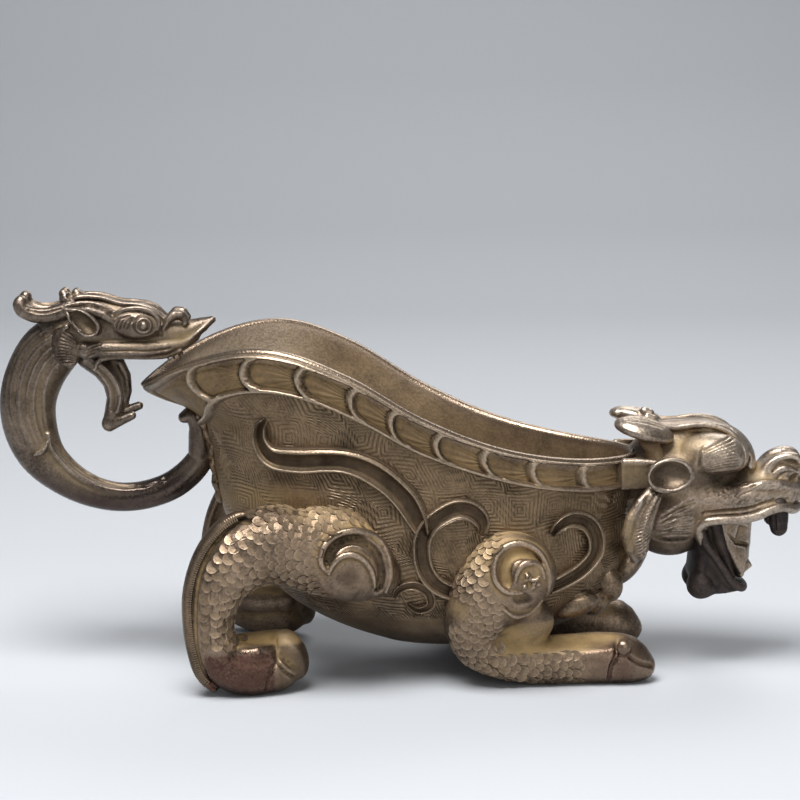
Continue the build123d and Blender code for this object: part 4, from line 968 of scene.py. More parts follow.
def buildFrontLeg():
    clay = Clay((5, -31, -0.6), (52, -7, 36), frontLeg["step"])
    clay.stroke(spaced(frontLeg["body"], 44), 0.8)
    clay.ball((34.5, -16.4, 12.5), (17.0, 10.0, 4.3), 0, 1.0, True, 16)  # smooth sloping top of the forearm
    clay.ball((21.3, -20.8, 23.4), (8.8, 5.8, 8.0), 0, 1.0)
    clay.ball((22.6, -16.6, 13.4), (7.4, 4.4, 5.6), -12, 2.4)  # shoulder coming down to the forearm
    fin = spaced(frontLeg["elbowFin"], 44, 2)
    clay.stroke(thick(atY(fin, -20.6 + 2.5 * ease(fin[:, 0], 16, 28)), 1.6), 0.8)
    clay.stroke([(13.0, -20.4, 17.0, 1.5, 1.5), (8.6, -20.4, 16.8, 0.4, 1.5)], 0.6)  # tip of the elbow
    clay.line(even(frontLeg["channel"], 1.2), 0.1, 0.4, True)
    clay.ball((24.9, -27.8, 23.4), (2.2, 2.2, 2.6), 0, 0.4, True)
    clay.ball((24.4, -27.4, 19.0), (3.6, 2.6, 2.0), -15, 0.4, True)
    clay.line(tapered(frontLeg["outerRidge"], 0.75), 0.15, 0.3)
    clay.line(tapered(frontLeg["innerRidge"], 0.65), 0.2, 0.25)
    clay.line(tapered(frontLeg["lowRidge"], 0.6), 0.2, 0.25)
    dice = np.random.default_rng(11)
    for _ in range(14):  # rough pocket in the middle
        spot = dice.uniform((23.4, 21.6), (26.4, 24.8))
        clay.line([(*spot, 0.3), (*(spot + (0.3, 0.2)), 0.3)], 0.1, 0.15)
    for path in ([(42.6, 10.4, 0.4), (42.2, 7.0, 0.45), (41.0, 4.0, 0.45), (40.8, 0.8, 0.4)],
                 [(44.8, 6.0, 0.35), (47.0, 4.6, 0.4), (49.4, 3.6, 0.4)]):
        clay.groove(path, 0.3)
    clay.ball((43.5, -18.9, 7.9), (1.4, 1.0, 1.5), 0, 0.3)
    clay.trim(0.9)
    points, faces, marks = clay.cast(False)
    x, y, z = points.T
    paw = ease(x, 34, 42) * ease(9.4 - z, 0, 2.0) * ease(-12 - y, 0, 3) * (1 - 0.6 * ease(x, 44.0, 46.0))
    top = ease(x, 17, 21) * ease(46 - x, 0, 6) * ease(z, 6.4, 7.6) * ease(14 - z, 0, 1)
    wall = ease(wallOut(x, z) + y, -4.0, -0.5) * ease(z, 18, 24)
    pocket = softSpot(x, z, 24.4, 19, 2.8, 1.6)
    elbow = softSpot(x, z, 11.4, 17.4, 2.6, 2.4)
    # crease under the shoulder, painted dark as shade
    crease = softSpot(x, z, 23.5, 13.2, 5, 1.7)
    marks["earth"] += (top + wall * 0.9 - paw * 0.6 + 0.3 * ease(z, 22, 26) + 0.6 * elbow
                       - 0.5 * pocket - 0.6 * crease)
    marks["line"] += pocket * 0.6 + crease * 0.35
    marks["rubAndHighlight"] += 0.15 * ease(-y, 24, 27) + 0.3 * paw
    marks["polish"] = paw * 0.75
    bothSides("frontLeg", points, faces, legFinish, "front_leg", marks, 60)

    def keep(p):  # off the crescents and the elbow's tip, on the outer side
        x, y, z = p.T
        crescents = np.hypot(x - 23.2, z - 24.4) > 6.4
        elbow = np.hypot(x - 10.6, z - 17.0) > 2.8
        upper = (z > 7.6) & (z < 31.5) & (x > 9.6) & (x < 19.6)
        lower = (z > 0.8) & (z < 7.0) & (x < 35.6 + np.sin(z * 1.7))
        return crescents & elbow & (upper | lower) & (y < -14.5)

    places, outward, along = limbScales(points, faces, frontLeg["body"], keep, frontLeg["scalePitch"])
    size = 0.96 + 0.08 * np.sin(places[:, 0] * 6.7 + places[:, 2] * 5.9)
    size = size * (1 - 0.3 * ease(places[:, 0], 31, 37))

    def dust(p):  # ochre on top of the shoulder
        return 0.6 * ease(p[:, 2], 21, 28)

    setTiles("frontLegScales", scaleTile, places - along * 1.1, outward, along, size, frontLeg["scaleSize"],
             legFinish, dust)
    return len(places)


print("front legs ready, scales on each:", buildFrontLeg())

# Beast's head: helmet-like brow, swollen lids with hair strokes, long muzzle with a thick rolled lip
beastHead = dict(
    crest=[(48.6, 47.6), (53.0, 48.4), (57.0, 48.6), (61.5, 48.4), (65.6, 47.2), (68.0, 45.4), (69.2, 43.4),
           (69.6, 41.2)],
    crestEdge=[(49.9, 49.4), (54.9, 49.2), (58.6, 49.7), (62.3, 49.5), (64.8, 48.5), (66.8, 46.8),
               (68.1, 44.9), (68.7, 43.0)],
    lip=[(61.0, -5.8, 25.2), (59.5, -6.8, 27.2), (59.0, -7.7, 29.3), (60.3, -8.3, 30.7), (62.3, -8.5, 31.1),
         (67.2, -8.3, 31.3), (71.0, -7.7, 32.0), (73.4, -7.1, 32.9), (75.9, -6.3, 33.3), (78.0, -4.7, 32.6),
         (79.2, -2.2, 32.4), (79.5, 0.0, 32.5)],
    noseCurl=[(72.2, 39.4), (73.0, 41.0), (74.2, 42.1), (75.6, 42.8), (77.4, 43.1), (79.0, 42.7),
              (79.8, 41.6)],
    nostrilGroove=[(74.0, 40.2), (75.2, 41.3), (76.6, 41.6), (78.0, 41.2), (79.2, 40.3)],
    step=0.23, cheekStrokes=12, lidStrokes=10, flecks=90)


# Fan of fine strokes from one line to another, seen from the side
def hairGrooves(clay, starts, ends, bend, radius):
    for (a, b), (c, d) in zip(starts, ends):
        middle = ((a + c) / 2, (b + d) / 2 + bend, radius * 1.15)
        clay.groove([(a, b, radius), middle, (c, d, radius * 0.8)], 0.12)


def buildBeastHead():
    clay = Clay((38, -15, 18), (83, 0, 54), beastHead["step"])
    clay.stroke([(40, 0, 33, 6.0, 1.0), (46, 0, 32.4, 6.6, 1.1), (50, 0, 31.8, 7.0, 1.3),
                 (57.6, 0, 30.6, 5.6, 1.4)], 1.0)  # neck and throat
    clay.ball((55.4, 0, 39.6), (11.4, 9.0, 9.2), 0, 2.0)
    clay.ball((53.8, 0, 31.8), (7.4, 10.6, 6.2), 0, 1.6)  # cheeks
    clay.ball((53.4, 0, 26.6), (6.6, 7.4, 4.2), -4, 1.2)  # throat
    clay.stroke([(57.6, 0, 35.2, 4.8, 1.85), (66.0, 0, 35.2, 4.6, 1.76), (72.0, 0, 35.8, 4.4, 1.6),
                 (76.6, 0, 36.2, 3.9, 1.5), (78.2, 0, 36.0, 3.2, 1.5)], 1.2)
    clay.stroke([(60.0, -5.8, 32.6, 1.9), (67.0, -5.8, 33.0, 1.9), (72.0, -5.2, 33.8, 1.8),
                 (76.4, -4.2, 34.4, 1.6)], 1.0)
    clay.stroke(thick(atY(spaced(beastHead["crest"], 26, 2), 0), 1.5, 3.0), 0.8)
    clay.stroke([(52.4, -9.4, 45.4, 1.5), (55.6, -8.6, 46.8, 1.7), (59.4, -7.8, 47.9, 1.5),
                 (63.2, -7.2, 48.2, 1.1),
                 (66.0, -6.6, 46.8, 0.7)], 0.5, True)  # hollow under the crest, where earth stays
    clay.stroke(thick(atY(spaced(beastHead["crestEdge"], 30, 2), -4.6), 0.62), 0.25)
    clay.groove(even(beastHead["crestEdge"][:6], 0.3, 0.0, 0.9), 0.2)
    clay.slab((47.6, -7.6, 40.4), (4.4, 3.2, 2.7), 0, 0.4, 0.6)  # the band of the rim runs on to the ear
    clay.stroke([(44.0, -10.0, 43.2, 0.85), (47.0, -10.1, 43.2, 0.85), (50.4, -10.2, 43.0, 0.8)], 0.3)
    clay.ball((62.0, -6.3, 44.1), (6.9, 4.5, 4.3), -7, 0.4)  # swollen lid
    clay.ball((56.8, -6.6, 42.6), (3.6, 3.0, 2.8), 0, 1.0)
    clay.stroke([(56.8, -11.0, 39.3, 1.2), (60.6, -10.6, 38.9, 2.2), (65.6, -9.6, 38.9, 2.2),
                 (69.4, -7.4, 39.5, 1.3)], 0.3, True)
    clay.ball((68.8, -5.4, 42.9), (0.9, 1.6, 1.1), 0, 0.3, True)
    clay.groove([(67.2, 46.6, 0.3), (67.9, 44.6, 0.35), (67.6, 42.4, 0.3)], 0.2)
    clay.stroke([(71.4, 0, 38.8, 1.8, 2.2), (73.6, 0, 39.8, 2.1, 2.1), (76.2, 0, 40.5, 2.3, 1.9),
                 (78.4, 0, 40.2, 2.2, 1.7)], 0.8)
    clay.stroke(thick(atY(spaced(beastHead["noseCurl"], 20, 2), -2.8), 0.85, 1.5), 0.7)
    clay.groove(even(beastHead["nostrilGroove"], 0.28), 0.2)
    clay.groove(even(beastHead["nostrilGroove"][:4], 0.22, 0.8, -1.5), 0.2)
    clay.ball((78.6, -4.2, 38.8), (1.3, 1.6, 0.9), 20, 0.3, True)
    clay.stroke([(67.8, -6.0, 37.2, 0.7), (71.5, -6.4, 37.8, 1.0), (75.0, -5.8, 37.8, 1.0),
                 (78.4, -4.4, 36.8, 0.8)], 0.6)
    # roof of the mouth
    clay.stroke([(61.6, 0, 28.2, 1.8, 2.8), (67.0, 0, 28.4, 1.9, 2.6), (72.0, 0, 29.0, 1.5, 2.4)], 0.5, True)
    lip = spaced(beastHead["lip"], 56)
    clay.stroke(thick(lip, 0.95), 0.3)
    clay.groove([(60.0, 32.5, 0.35), (64.7, 32.9, 0.4), (69.6, 33.5, 0.4), (72.6, 34.5, 0.36),
                 (77.0, 34.9, 0.3)], 0.25)
    cheek = beastHead["cheekStrokes"]
    stagger = 1.1 * np.sin(np.arange(cheek) * 2.4)
    hairGrooves(clay, zip(np.linspace(57.8, 57.0, cheek) + 0.4 * stagger, np.linspace(35.4, 28.0, cheek)),
                zip(np.linspace(52.6, 50.4, cheek) + stagger[::-1], np.linspace(32.6, 27.6, cheek)),
                0.5, 0.26)
    lid = beastHead["lidStrokes"]
    hairGrooves(clay, zip(np.linspace(59.4, 60.2, lid), np.linspace(45.6, 41.2, lid)),
                zip(np.linspace(65.8, 67.0, lid), np.linspace(48.0, 42.4, lid)), 0.35, 0.22)
    # fold between lid and temple
    clay.groove([(59.4, 46.6, 0.15), (58.6, 44.6, 0.28), (58.4, 42.4, 0.2)], 0.2)
    clay.groove([(48.8, 27.7, 0.4), (53.4, 27.0, 0.45), (57.4, 26.9, 0.3)], 0.25)  # edge of the throat band
    dice = np.random.default_rng(7)
    for _ in range(beastHead["flecks"]):  # short chisel flecks on muzzle and cheek
        x, z, long = dice.uniform(60, 78), dice.uniform(34.6, 38.0), dice.uniform(0.5, 1.1)
        clay.groove([(x, z, 0.1), (x + long / 2, z + 0.1, 0.14), (x + long, z + 0.3, 0.1)], 0.1)
    clay.trim(1.2, False)
    points, faces, marks = clay.cast(True, 5, 0.1, 0.35)
    x, y, z = points.T
    side = abs(y)
    hollow = softSpot(x, z, 58.0, 46.8, 6, 1.7) * ease(side, 4.8, 6.0)
    temple = softSpot(x, z, 55.4, 44.4, 3, 2.2) * ease(side, 5, 7)
    bridge = softSpot(x, z, 71.2, 39.6, 2.2, 1.6)
    nape = ease(49 - x, 0, 5) * ease(z, 38, 41)
    # throat band under the head, painted dark as shadow
    throatShade = ease(27.6 - z, 0, 0.8) * ease(60 - x, 0, 2)
    shade = softSpot(x, z, 63, 39.2, 6, 1.9) * ease(side, 5, 7)
    block = ease(51.5 - x, 0, 1.0) * ease(side, 9.4, 10.0) * ease(z, 37, 38) * ease(43.2 - z, 0, 0.6)
    marks["earth"] += 0.45 * block + hollow * 0.8 + temple * 0.5 + bridge * 0.7 + nape * 0.5 - 0.5 * throatShade
    marks["line"] += throatShade * 0.75 + shade + 0.65 * block
    # painted highlights on the top of the lid and on the muzzle
    marks["rubAndHighlight"] += (0.45 * ease(z, 42, 46) * ease(x, 58, 62) + 0.2 * ease(x, 64, 70)
                     - throatShade - shade - block)
    makePiece("beastHead", points, faces, headFinish, ["beast_head"], marks, 70)


neckRuff = dict(
    step=0.22, strokes=22, strokeRadius=0.24,
    roll=[(51.2, -9.4, 39.2, 1.3), (49.2, -11.4, 36.4, 2.0), (47.4, -12.4, 32.6, 2.4),
          (46.7, -12.4, 29.0, 2.5), (47.0, -11.4, 26.4, 1.9), (47.4, -9.8, 24.6, 1.2), (47.4, -5.5, 23.6, 1.2),
          (47.4, 0, 23.2, 1.2)],
    edge=[(49.4, -11.2, 38.2, 0.8), (46.9, -13.2, 35.8, 1.0), (44.9, -14.0, 32.4, 1.1),
          (44.2, -14.0, 29.4, 1.1), (44.8, -13.2, 26.6, 1.0), (45.8, -11.2, 24.6, 0.9), (46.4, -8.2, 23.2, 0.9),
          (46.6, 0, 22.0, 0.9)],
    low=[(50.4, 38.6), (48.2, 35.2), (46.4, 31.8), (45.7, 29.0), (46.2, 26.4), (46.9, 24.2)],
    high=[(52.0, 38.0), (50.4, 34.6), (49.3, 31.0), (49.2, 28.4), (49.2, 26.0), (48.6, 24.2)])


def buildRuff():
    clay = Clay((40, -17, 18), (55, 0, 43), neckRuff["step"])
    clay.stroke(neckRuff["roll"], 0.6)
    clay.stroke(neckRuff["edge"], 0.3)
    low, high = (spaced(neckRuff[key], neckRuff["strokes"], 2) for key in ("low", "high"))
    middle = (low + high) / 2
    hairGrooves(clay, low, middle + (0.1, 0.9), 0.0, neckRuff["strokeRadius"])
    hairGrooves(clay, middle[:-1] + (0.1, -0.3), high[:-1] + (0, 0.9), 0.0, neckRuff["strokeRadius"])
    points, faces, marks = clay.cast(True, 5, 0.1, 0.35)
    edge = ease(46.2 - points[:, 0], 0, 1.4)
    marks["earth"] += edge * 0.8
    marks["rubAndHighlight"] -= edge * 0.4
    makePiece("neckRuff", points, faces, headFinish, ["neck_ruff"], marks, 70)


beastJaw = dict(
    step=0.23, flangeRadius=0.8,
    bone=[(59.6, 0, 27.6, 2.4, 2.9), (60.2, 0, 23.6, 2.2, 2.9), (60.2, 0, 19.4, 2.6, 2.6),
          (61.4, 0, 16.8, 2.5, 2.6), (65.0, 0, 16.2, 1.6, 3.4), (68.0, 0, 16.0, 0.9, 4.2)],
    side=[(60.6, -5.6, 26.4, 1.3, 0.8), (61.6, -5.4, 23.6, 1.6, 0.8), (62.6, -5.0, 20.6, 1.9, 0.8),
          (63.8, -4.6, 18.0, 1.8, 0.8)],
    flange=[(59.8, -6.8, 28.4), (60.2, -7.0, 27.0), (61.0, -6.9, 25.4), (62.6, -6.5, 23.2),
            (64.4, -6.0, 20.4), (66.2, -5.3, 17.8), (68.2, -4.2, 16.4), (69.0, -1.6, 16.1), (69.1, 0, 16.1)],
    mouth=[(62.6, 0, 29.4, 2.6, 1.9), (63.6, 0, 26.0, 2.4, 1.9), (65.2, 0, 22.0, 2.0, 1.9),
           (66.6, 0, 18.6, 1.2, 2.4)])


def buildJaw():
    clay = Clay((54, -11, 11), (73, 0, 33), beastJaw["step"])
    clay.stroke(beastJaw["bone"], 0.8)
    clay.ball((60.0, -4.4, 17.0), (2.8, 3.2, 2.8), 0, 1.0)  # bulging corner
    clay.stroke(beastJaw["side"], 1.0)
    clay.stroke(thick(spaced(beastJaw["flange"], 44), beastJaw["flangeRadius"]), 0.5)
    clay.stroke(beastJaw["mouth"], 0.6)
    points, faces, marks = clay.cast(True, 6, 0.14, 0.4, 0.0)
    x, y, z = points.T
    floor = softSpot(x, z, 63.2, 24.5, 1.6, 3.0) * ease(6.4 - abs(y), 0, 0.8)
    marks["earth"] += floor * 0.9
    makePiece("beastJaw", points, faces, jawShadeFinish, ["beast_jaw"], marks, 70)


beastTongue = dict(
    step=0.2, crease=[(65.4, 27.4, 0.2), (66.8, 26.0, 0.3), (69.8, 25.0, 0.25)],
    body=[(66.7, 0, 29.2, 3.9, 1.4), (67.2, 0, 25.2, 3.2, 1.6), (68.0, 0, 21.2, 2.1, 2.1),
          (68.2, 0, 18.8, 1.1, 3.0)])


def buildTongue():
    clay = Clay((60, -7, 14), (74, 0, 33), beastTongue["step"])
    clay.stroke(beastTongue["body"], 0.3)
    clay.slab((68.9, 0, 20.0), (1.7, 3.2, 0.65), 40, 0.25, 0.3)  # folded tip
    clay.slab((67.6, -6.6, 24.4), (6.4, 2.6, 8.2), 0, 0.2, 0.3, True)  # flat side
    clay.slab((69.6, -4.8, 26.6), (2.6, 1.2, 2.0), -14, 0.2, 0.2, True)  # fold
    clay.groove(beastTongue["crease"], 0.15)
    points, faces, marks = clay.cast(True, 6, 0.12, 0.4, 0.2)
    makePiece("beastTongue", points, faces, headFinish, ["beast_tongue"], marks, 40)


beastEar = dict(
    step=0.2, rimRadius=0.62,
    root=[(54.2, -7.6, 40.2, 2.0), (53.4, -10.4, 40.8, 2.8), (52.9, -12.2, 41.1, 3.2)],
    cup=((52.8, -12.6, 41.2), (4.7, 2.2, 3.5)), hollow=((52.7, -15.6, 41.3), (4.4, 3.6, 3.15)), turn=3)


def buildEars():
    clay = Clay((45, -17, 34), (61, -6, 48), beastEar["step"])
    clay.stroke(beastEar["root"], 0.6)
    clay.ball(*beastEar["cup"], beastEar["turn"], 0.6)
    turn = np.radians(np.linspace(0, 360, 49))
    rim = np.c_[52.8 + 4.15 * np.cos(turn) - 0.5 * np.sin(turn) ** 2,
                -13.4 + 0.5 * np.cos(turn) - 0.4 * np.sin(turn),
                41.2 + 2.95 * np.sin(turn) + 0.25 * np.cos(turn)]
    clay.stroke(thick(rim, beastEar["rimRadius"]), 0.3)
    clay.ball(*beastEar["hollow"], beastEar["turn"], 0.25, True)
    points, faces, marks = clay.cast(False, 6, 0.12, 0.35)
    x, y, z = points.T
    # inside of the ear painted darker as shade, darkest at the top
    cup = ease(1.0 - ((x - 52.7) / 3.8) ** 2 - ((z - 41.2) / 2.7) ** 2, 0, 0.4) * ease(-y, 11, 12)
    marks["earth"] -= cup * 0.2
    marks["line"] += cup * (0.2 + 0.45 * ease(z, 40.0, 42.2))
    bothSides("beastEar", points, faces, headFinish, "beast_ear", marks, 60)


# Mushroom-like plates that lean outwards, with a rolled edge and a curl at the inner corner
beastHorn = dict(
    step=0.2, turn=-14, lean=12, centre=(48.0, -6.4, 49.2), half=(5.7, 3.9, 2.0), edgeRadius=0.85,
    stalk=[(50.8, -5.6, 42.6, 2.4), (49.8, -6.2, 45.2, 1.6), (49.0, -6.4, 47.4, 2.2)],
    curl=[(50.6, -3.6, 49.4, 0.8), (50.0, -3.4, 50.6, 0.95), (48.9, -3.4, 51.1, 0.85),
          (48.3, -3.8, 50.4, 0.6)],
    flutes=(-1.6, -0.4, 0.9))


def buildHorns():
    clay = Clay((40, -13, 41), (57, -1, 55), beastHorn["step"])
    clay.stroke(beastHorn["stalk"], 0.7)
    clay.ball(beastHorn["centre"], beastHorn["half"], beastHorn["turn"], 0.6, False, beastHorn["lean"])
    turn = np.radians(np.linspace(150, 385, 40))
    edge = np.c_[48.0 + 5.1 * np.cos(turn), -6.4 + 3.3 * np.sin(turn)]
    height = 48.9 - 0.25 * (edge[:, 0] - 48.0) + 0.2 * (edge[:, 1] + 6.4)
    clay.stroke(thick(np.c_[edge, height], beastHorn["edgeRadius"]), 0.35)
    clay.stroke(beastHorn["curl"], 0.3)
    for shift in beastHorn["flutes"]:
        rows = [(x, -6.4 + shift, z + 0.2 * shift, radius)
                for x, z, radius in ((44.4, 51.7, 0.25), (48.2, 51.25, 0.4), (51.8, 50.0, 0.25))]
        clay.stroke(spaced(rows, 14), 0.2, True)
    points, faces, marks = clay.cast(False, 6, 0.12, 0.4)
    marks["earth"] += 0.8 * ease(47 - points[:, 2], 0, 2)
    # painted highlight on the top of the plate
    marks["rubAndHighlight"] += 0.45 * ease(points[:, 2], 48, 50)
    bothSides("beastHorn", points, faces, headFinish, "beast_horn", marks, 60)


beastFang = dict(
    step=0.2, tooth=[(75.2, -4.8, 33.4, 2.1), (75.2, -4.8, 30.4, 2.05), (75.4, -4.7, 28.9, 1.75)],
    crease=[(74.2, 31.6, 0.25), (74.6, 28.8, 0.25)])


def buildFangs():
    clay = Clay((71, -9, 25), (80, -1, 36), beastFang["step"])
    clay.stroke(beastFang["tooth"], 0.4)
    clay.groove(beastFang["crease"], 0.2)
    points, faces, marks = clay.cast(False, 6, 0.14, 0.4, 0.0)
    bothSides("beastFang", points, faces, jawShadeFinish, "beast_fang", marks, 60)


# Plump lobes below the neck, before the front legs; rows are x, z, half length, half height, turn
chestLobes = dict(
    step=0.25, thick=2.4,
    lobes=[(34.4, 14.6, 4.8, 2.4, 20), (41.2, 17.9, 3.0, 3.7, 12), (38.6, 14.4, 3.2, 2.6, 40)],
    ridges=([(30.6, 15.0, 0.35), (34.6, 17.0, 0.4), (38.6, 17.6, 0.35)],
            [(38.8, 20.6, 0.35), (41.4, 21.6, 0.45), (43.8, 20.6, 0.35)]))


def buildChest():
    clay = Clay((26, -20, 7), (53, 0, 29), chestLobes["step"])
    for x, z, long, tall, turn in chestLobes["lobes"]:
        clay.ball((x, -float(wallOut(x, z)) + 0.2, z), (long, chestLobes["thick"], tall), turn, 0.5)
    clay.ball((45.4, 0, 21.2), (3.0, 7.0, 6.0), -36, 0.5)  # breast under the neck
    for ridge in chestLobes["ridges"]:
        clay.line(ridge, 0.1, 0.25)
    clay.trim(0.8, False)
    points, faces, marks = clay.cast(True, 6, 0.14, 0.4)
    makePiece("chestLobes", points, faces, bowlFinish, [], marks, 60)


for build in (buildBeastHead, buildRuff, buildJaw, buildTongue, buildEars, buildHorns, buildFangs,
              buildChest):
    build()
print("beast's head ready")

# Handle: a dragon whose body is the loop, maned at the nape, biting the lip of the bowl
handleLoop = dict(
    body=[(-39.4, 43.4, 2.6, 1.0), (-42.0, 39.8, 2.8, 1.0), (-45.6, 36.8, 2.85, 1.0),
          (-50.8, 34.7, 2.85, 1.03), (-56.8, 34.1, 2.9, 1.06), (-62.5, 35.4, 3.2, 1.02),
          (-68.0, 38.5, 3.8, 0.96), (-72.2, 42.8, 4.6, 0.9), (-74.3, 48.0, 5.3, 0.86),
          (-74.7, 53.6, 5.6, 0.88), (-73.0, 59.4, 5.8, 0.88), (-69.8, 64.2, 5.8, 0.88),
          (-66.4, 66.8, 5.0, 0.96)],
    outer=[(-67.4, 70.4), (-72.4, 68.0), (-76.2, 63.6), (-78.2, 58.0), (-78.0, 51.8), (-75.6, 45.6)],
    inner=[(-66.6, 63.0), (-69.4, 60.6), (-70.9, 57.0), (-71.0, 52.1), (-70.4, 48.1), (-69.6, 45.6)],
    step=0.23, tailStep=0.2, strands=15, deepest=(2, 6, 9, 12),
    ridge=[(-70.4, 47.4), (-69.8, 44.8), (-67.6, 41.6), (-64.3, 38.6), (-59.8, 36.5), (-53.2, 35.9),
           (-48.4, 37.6)],
    tail=[(-43.4, 50.4, 1.3, 1.5), (-42.0, 51.0, 1.7, 1.5), (-40.8, 49.4, 2.1, 1.3), (-40.3, 46.0, 2.4, 1.25),
          (-40.2, 43.2, 2.6, 1.1), (-40.8, 41.0, 2.0, 1.1)])


def buildLoop():
    clay = Clay((-83, -7.5, 29), (-35, 0, 76), handleLoop["step"])
    body = spaced(handleLoop["body"], 70, 2)
    clay.stroke(atY(body, 0), 0.6)
    first, last = spaced(handleLoop["outer"], 26, 2), spaced(handleLoop["inner"], 26, 2)
    swell = np.sin(np.linspace(0.45, 2.95, 26))
    for i in range(handleLoop["strands"]):  # strands of the mane, a few of them deeper
        strand = first + (last - first) * (i + 0.5) / handleLoop["strands"]
        clay.line(np.c_[strand, (0.6 if i in handleLoop["deepest"] else 0.3) * swell + 0.06], 0.05, 0.2, True)
    clay.line(even(handleLoop["ridge"], 0.6), 0.15, 0.35)
    clay.groove(even(handleLoop["ridge"][1:], 0.4, 0.9, 0.8), 0.3)
    # end of the lock
    clay.line([(-73.0, 43.6, 0.3), (-71.6, 44.2, 0.5), (-70.9, 45.0, 0.45), (-70.5, 46.2, 0.2)], 0.1, 0.2)
    clay.trim(0.6, False)
    points, faces, marks = clay.cast(True, 5, 0.11, 0.4, 0.1)
    x, y, z = points.T
    inner = ease(9.6 - np.hypot(x + 60, z - 49.5), -6.5, -2.5)
    under = ease(41 - z, 0, 6) * ease(12.5 - np.hypot(x + 57, z - 47), -2.5, -1.0)
    marks["earth"] += inner * 0.3
    marks["polish"] += 0.9 * ease(42 - z, 0, 5) * (1 - inner)
    marks["rubAndHighlight"] -= 0.4 * under
    makePiece("handleLoop", points, faces, handleFinish, ["handle_loop"], marks, 70)

    clay = Clay((-46, -5, 36), (-35, 0, 55), handleLoop["tailStep"])
    tail = spaced(handleLoop["tail"], 30, 2)
    clay.stroke(atY(tail, 0), 0.5)
    clay.ball((-43.6, 0, 48.5), (1.3, 1.6, 1.1), 0, 0.4, True)
    clay.trim(0.6, False)
    points, faces, marks = clay.cast(True, 6, 0.14, 0.4, 0.25)
    marks["polish"] += 0.4
    makePiece("handleTail", points, faces, handleFinish, ["handle_tail"], marks, 70)


# Lumpy solder where the tail meets the back wall
solderSeam = dict(step=0.22, low=34.5, high=51.5, pitch=0.8, lumps=(0.5, 1.0), across=(-3.4, -2.0))


def buildSolder():
    clay = Clay((-45, -6, 30), (-31, 0, 55), solderSeam["step"])
    dice = np.random.default_rng(4)
    for z in np.arange(solderSeam["low"], solderSeam["high"], solderSeam["pitch"]):
        for y in solderSeam["across"]:
            lump = dice.uniform(*solderSeam["lumps"])
            x = float(np.interp(z, wallZ, [np.min(wallX[row > -y]) for row in wallTable]))
            centre = (x - 0.1 + dice.uniform(-0.3, 0.2), y + dice.uniform(-0.6, 0.6), z)
            clay.ball(centre, (lump, lump * 1.2, lump * 1.1), 0, 0.5)
    points, faces, marks = clay.cast(True, 6, 0.2, 0.4, 0.3)
    marks["rubAndHighlight"] -= 0.3
    makePiece("solderSeam", points, faces, bowlFinish, [], marks, 70)


dragonHead = dict(
    crown=[(-66.0, 74.6), (-62.6, 75.0), (-59.6, 74.8), (-55.2, 73.6), (-52.3, 73.4), (-48.9, 72.3),
           (-47.0, 70.6)],
    browFold=[(-66.2, 73.4), (-63.3, 74.0), (-60.6, 73.9), (-58.2, 73.1), (-56.4, 72.0)],
    eyeBrow=[(-57.0, 71.2), (-55.4, 72.5), (-53.4, 73.0), (-50.4, 72.8), (-48.6, 71.8), (-47.8, 70.4),
             (-48.1, 69.0)],
    lipEdge=[(-60.6, 61.0), (-60.3, 61.9), (-59.4, 62.8), (-57.6, 63.2), (-54.0, 63.3), (-50.0, 63.2),
             (-46.6, 63.4), (-43.8, 64.4)],
    eye=(-50.7, 69.8), eyeRing=1.4, step=0.2)


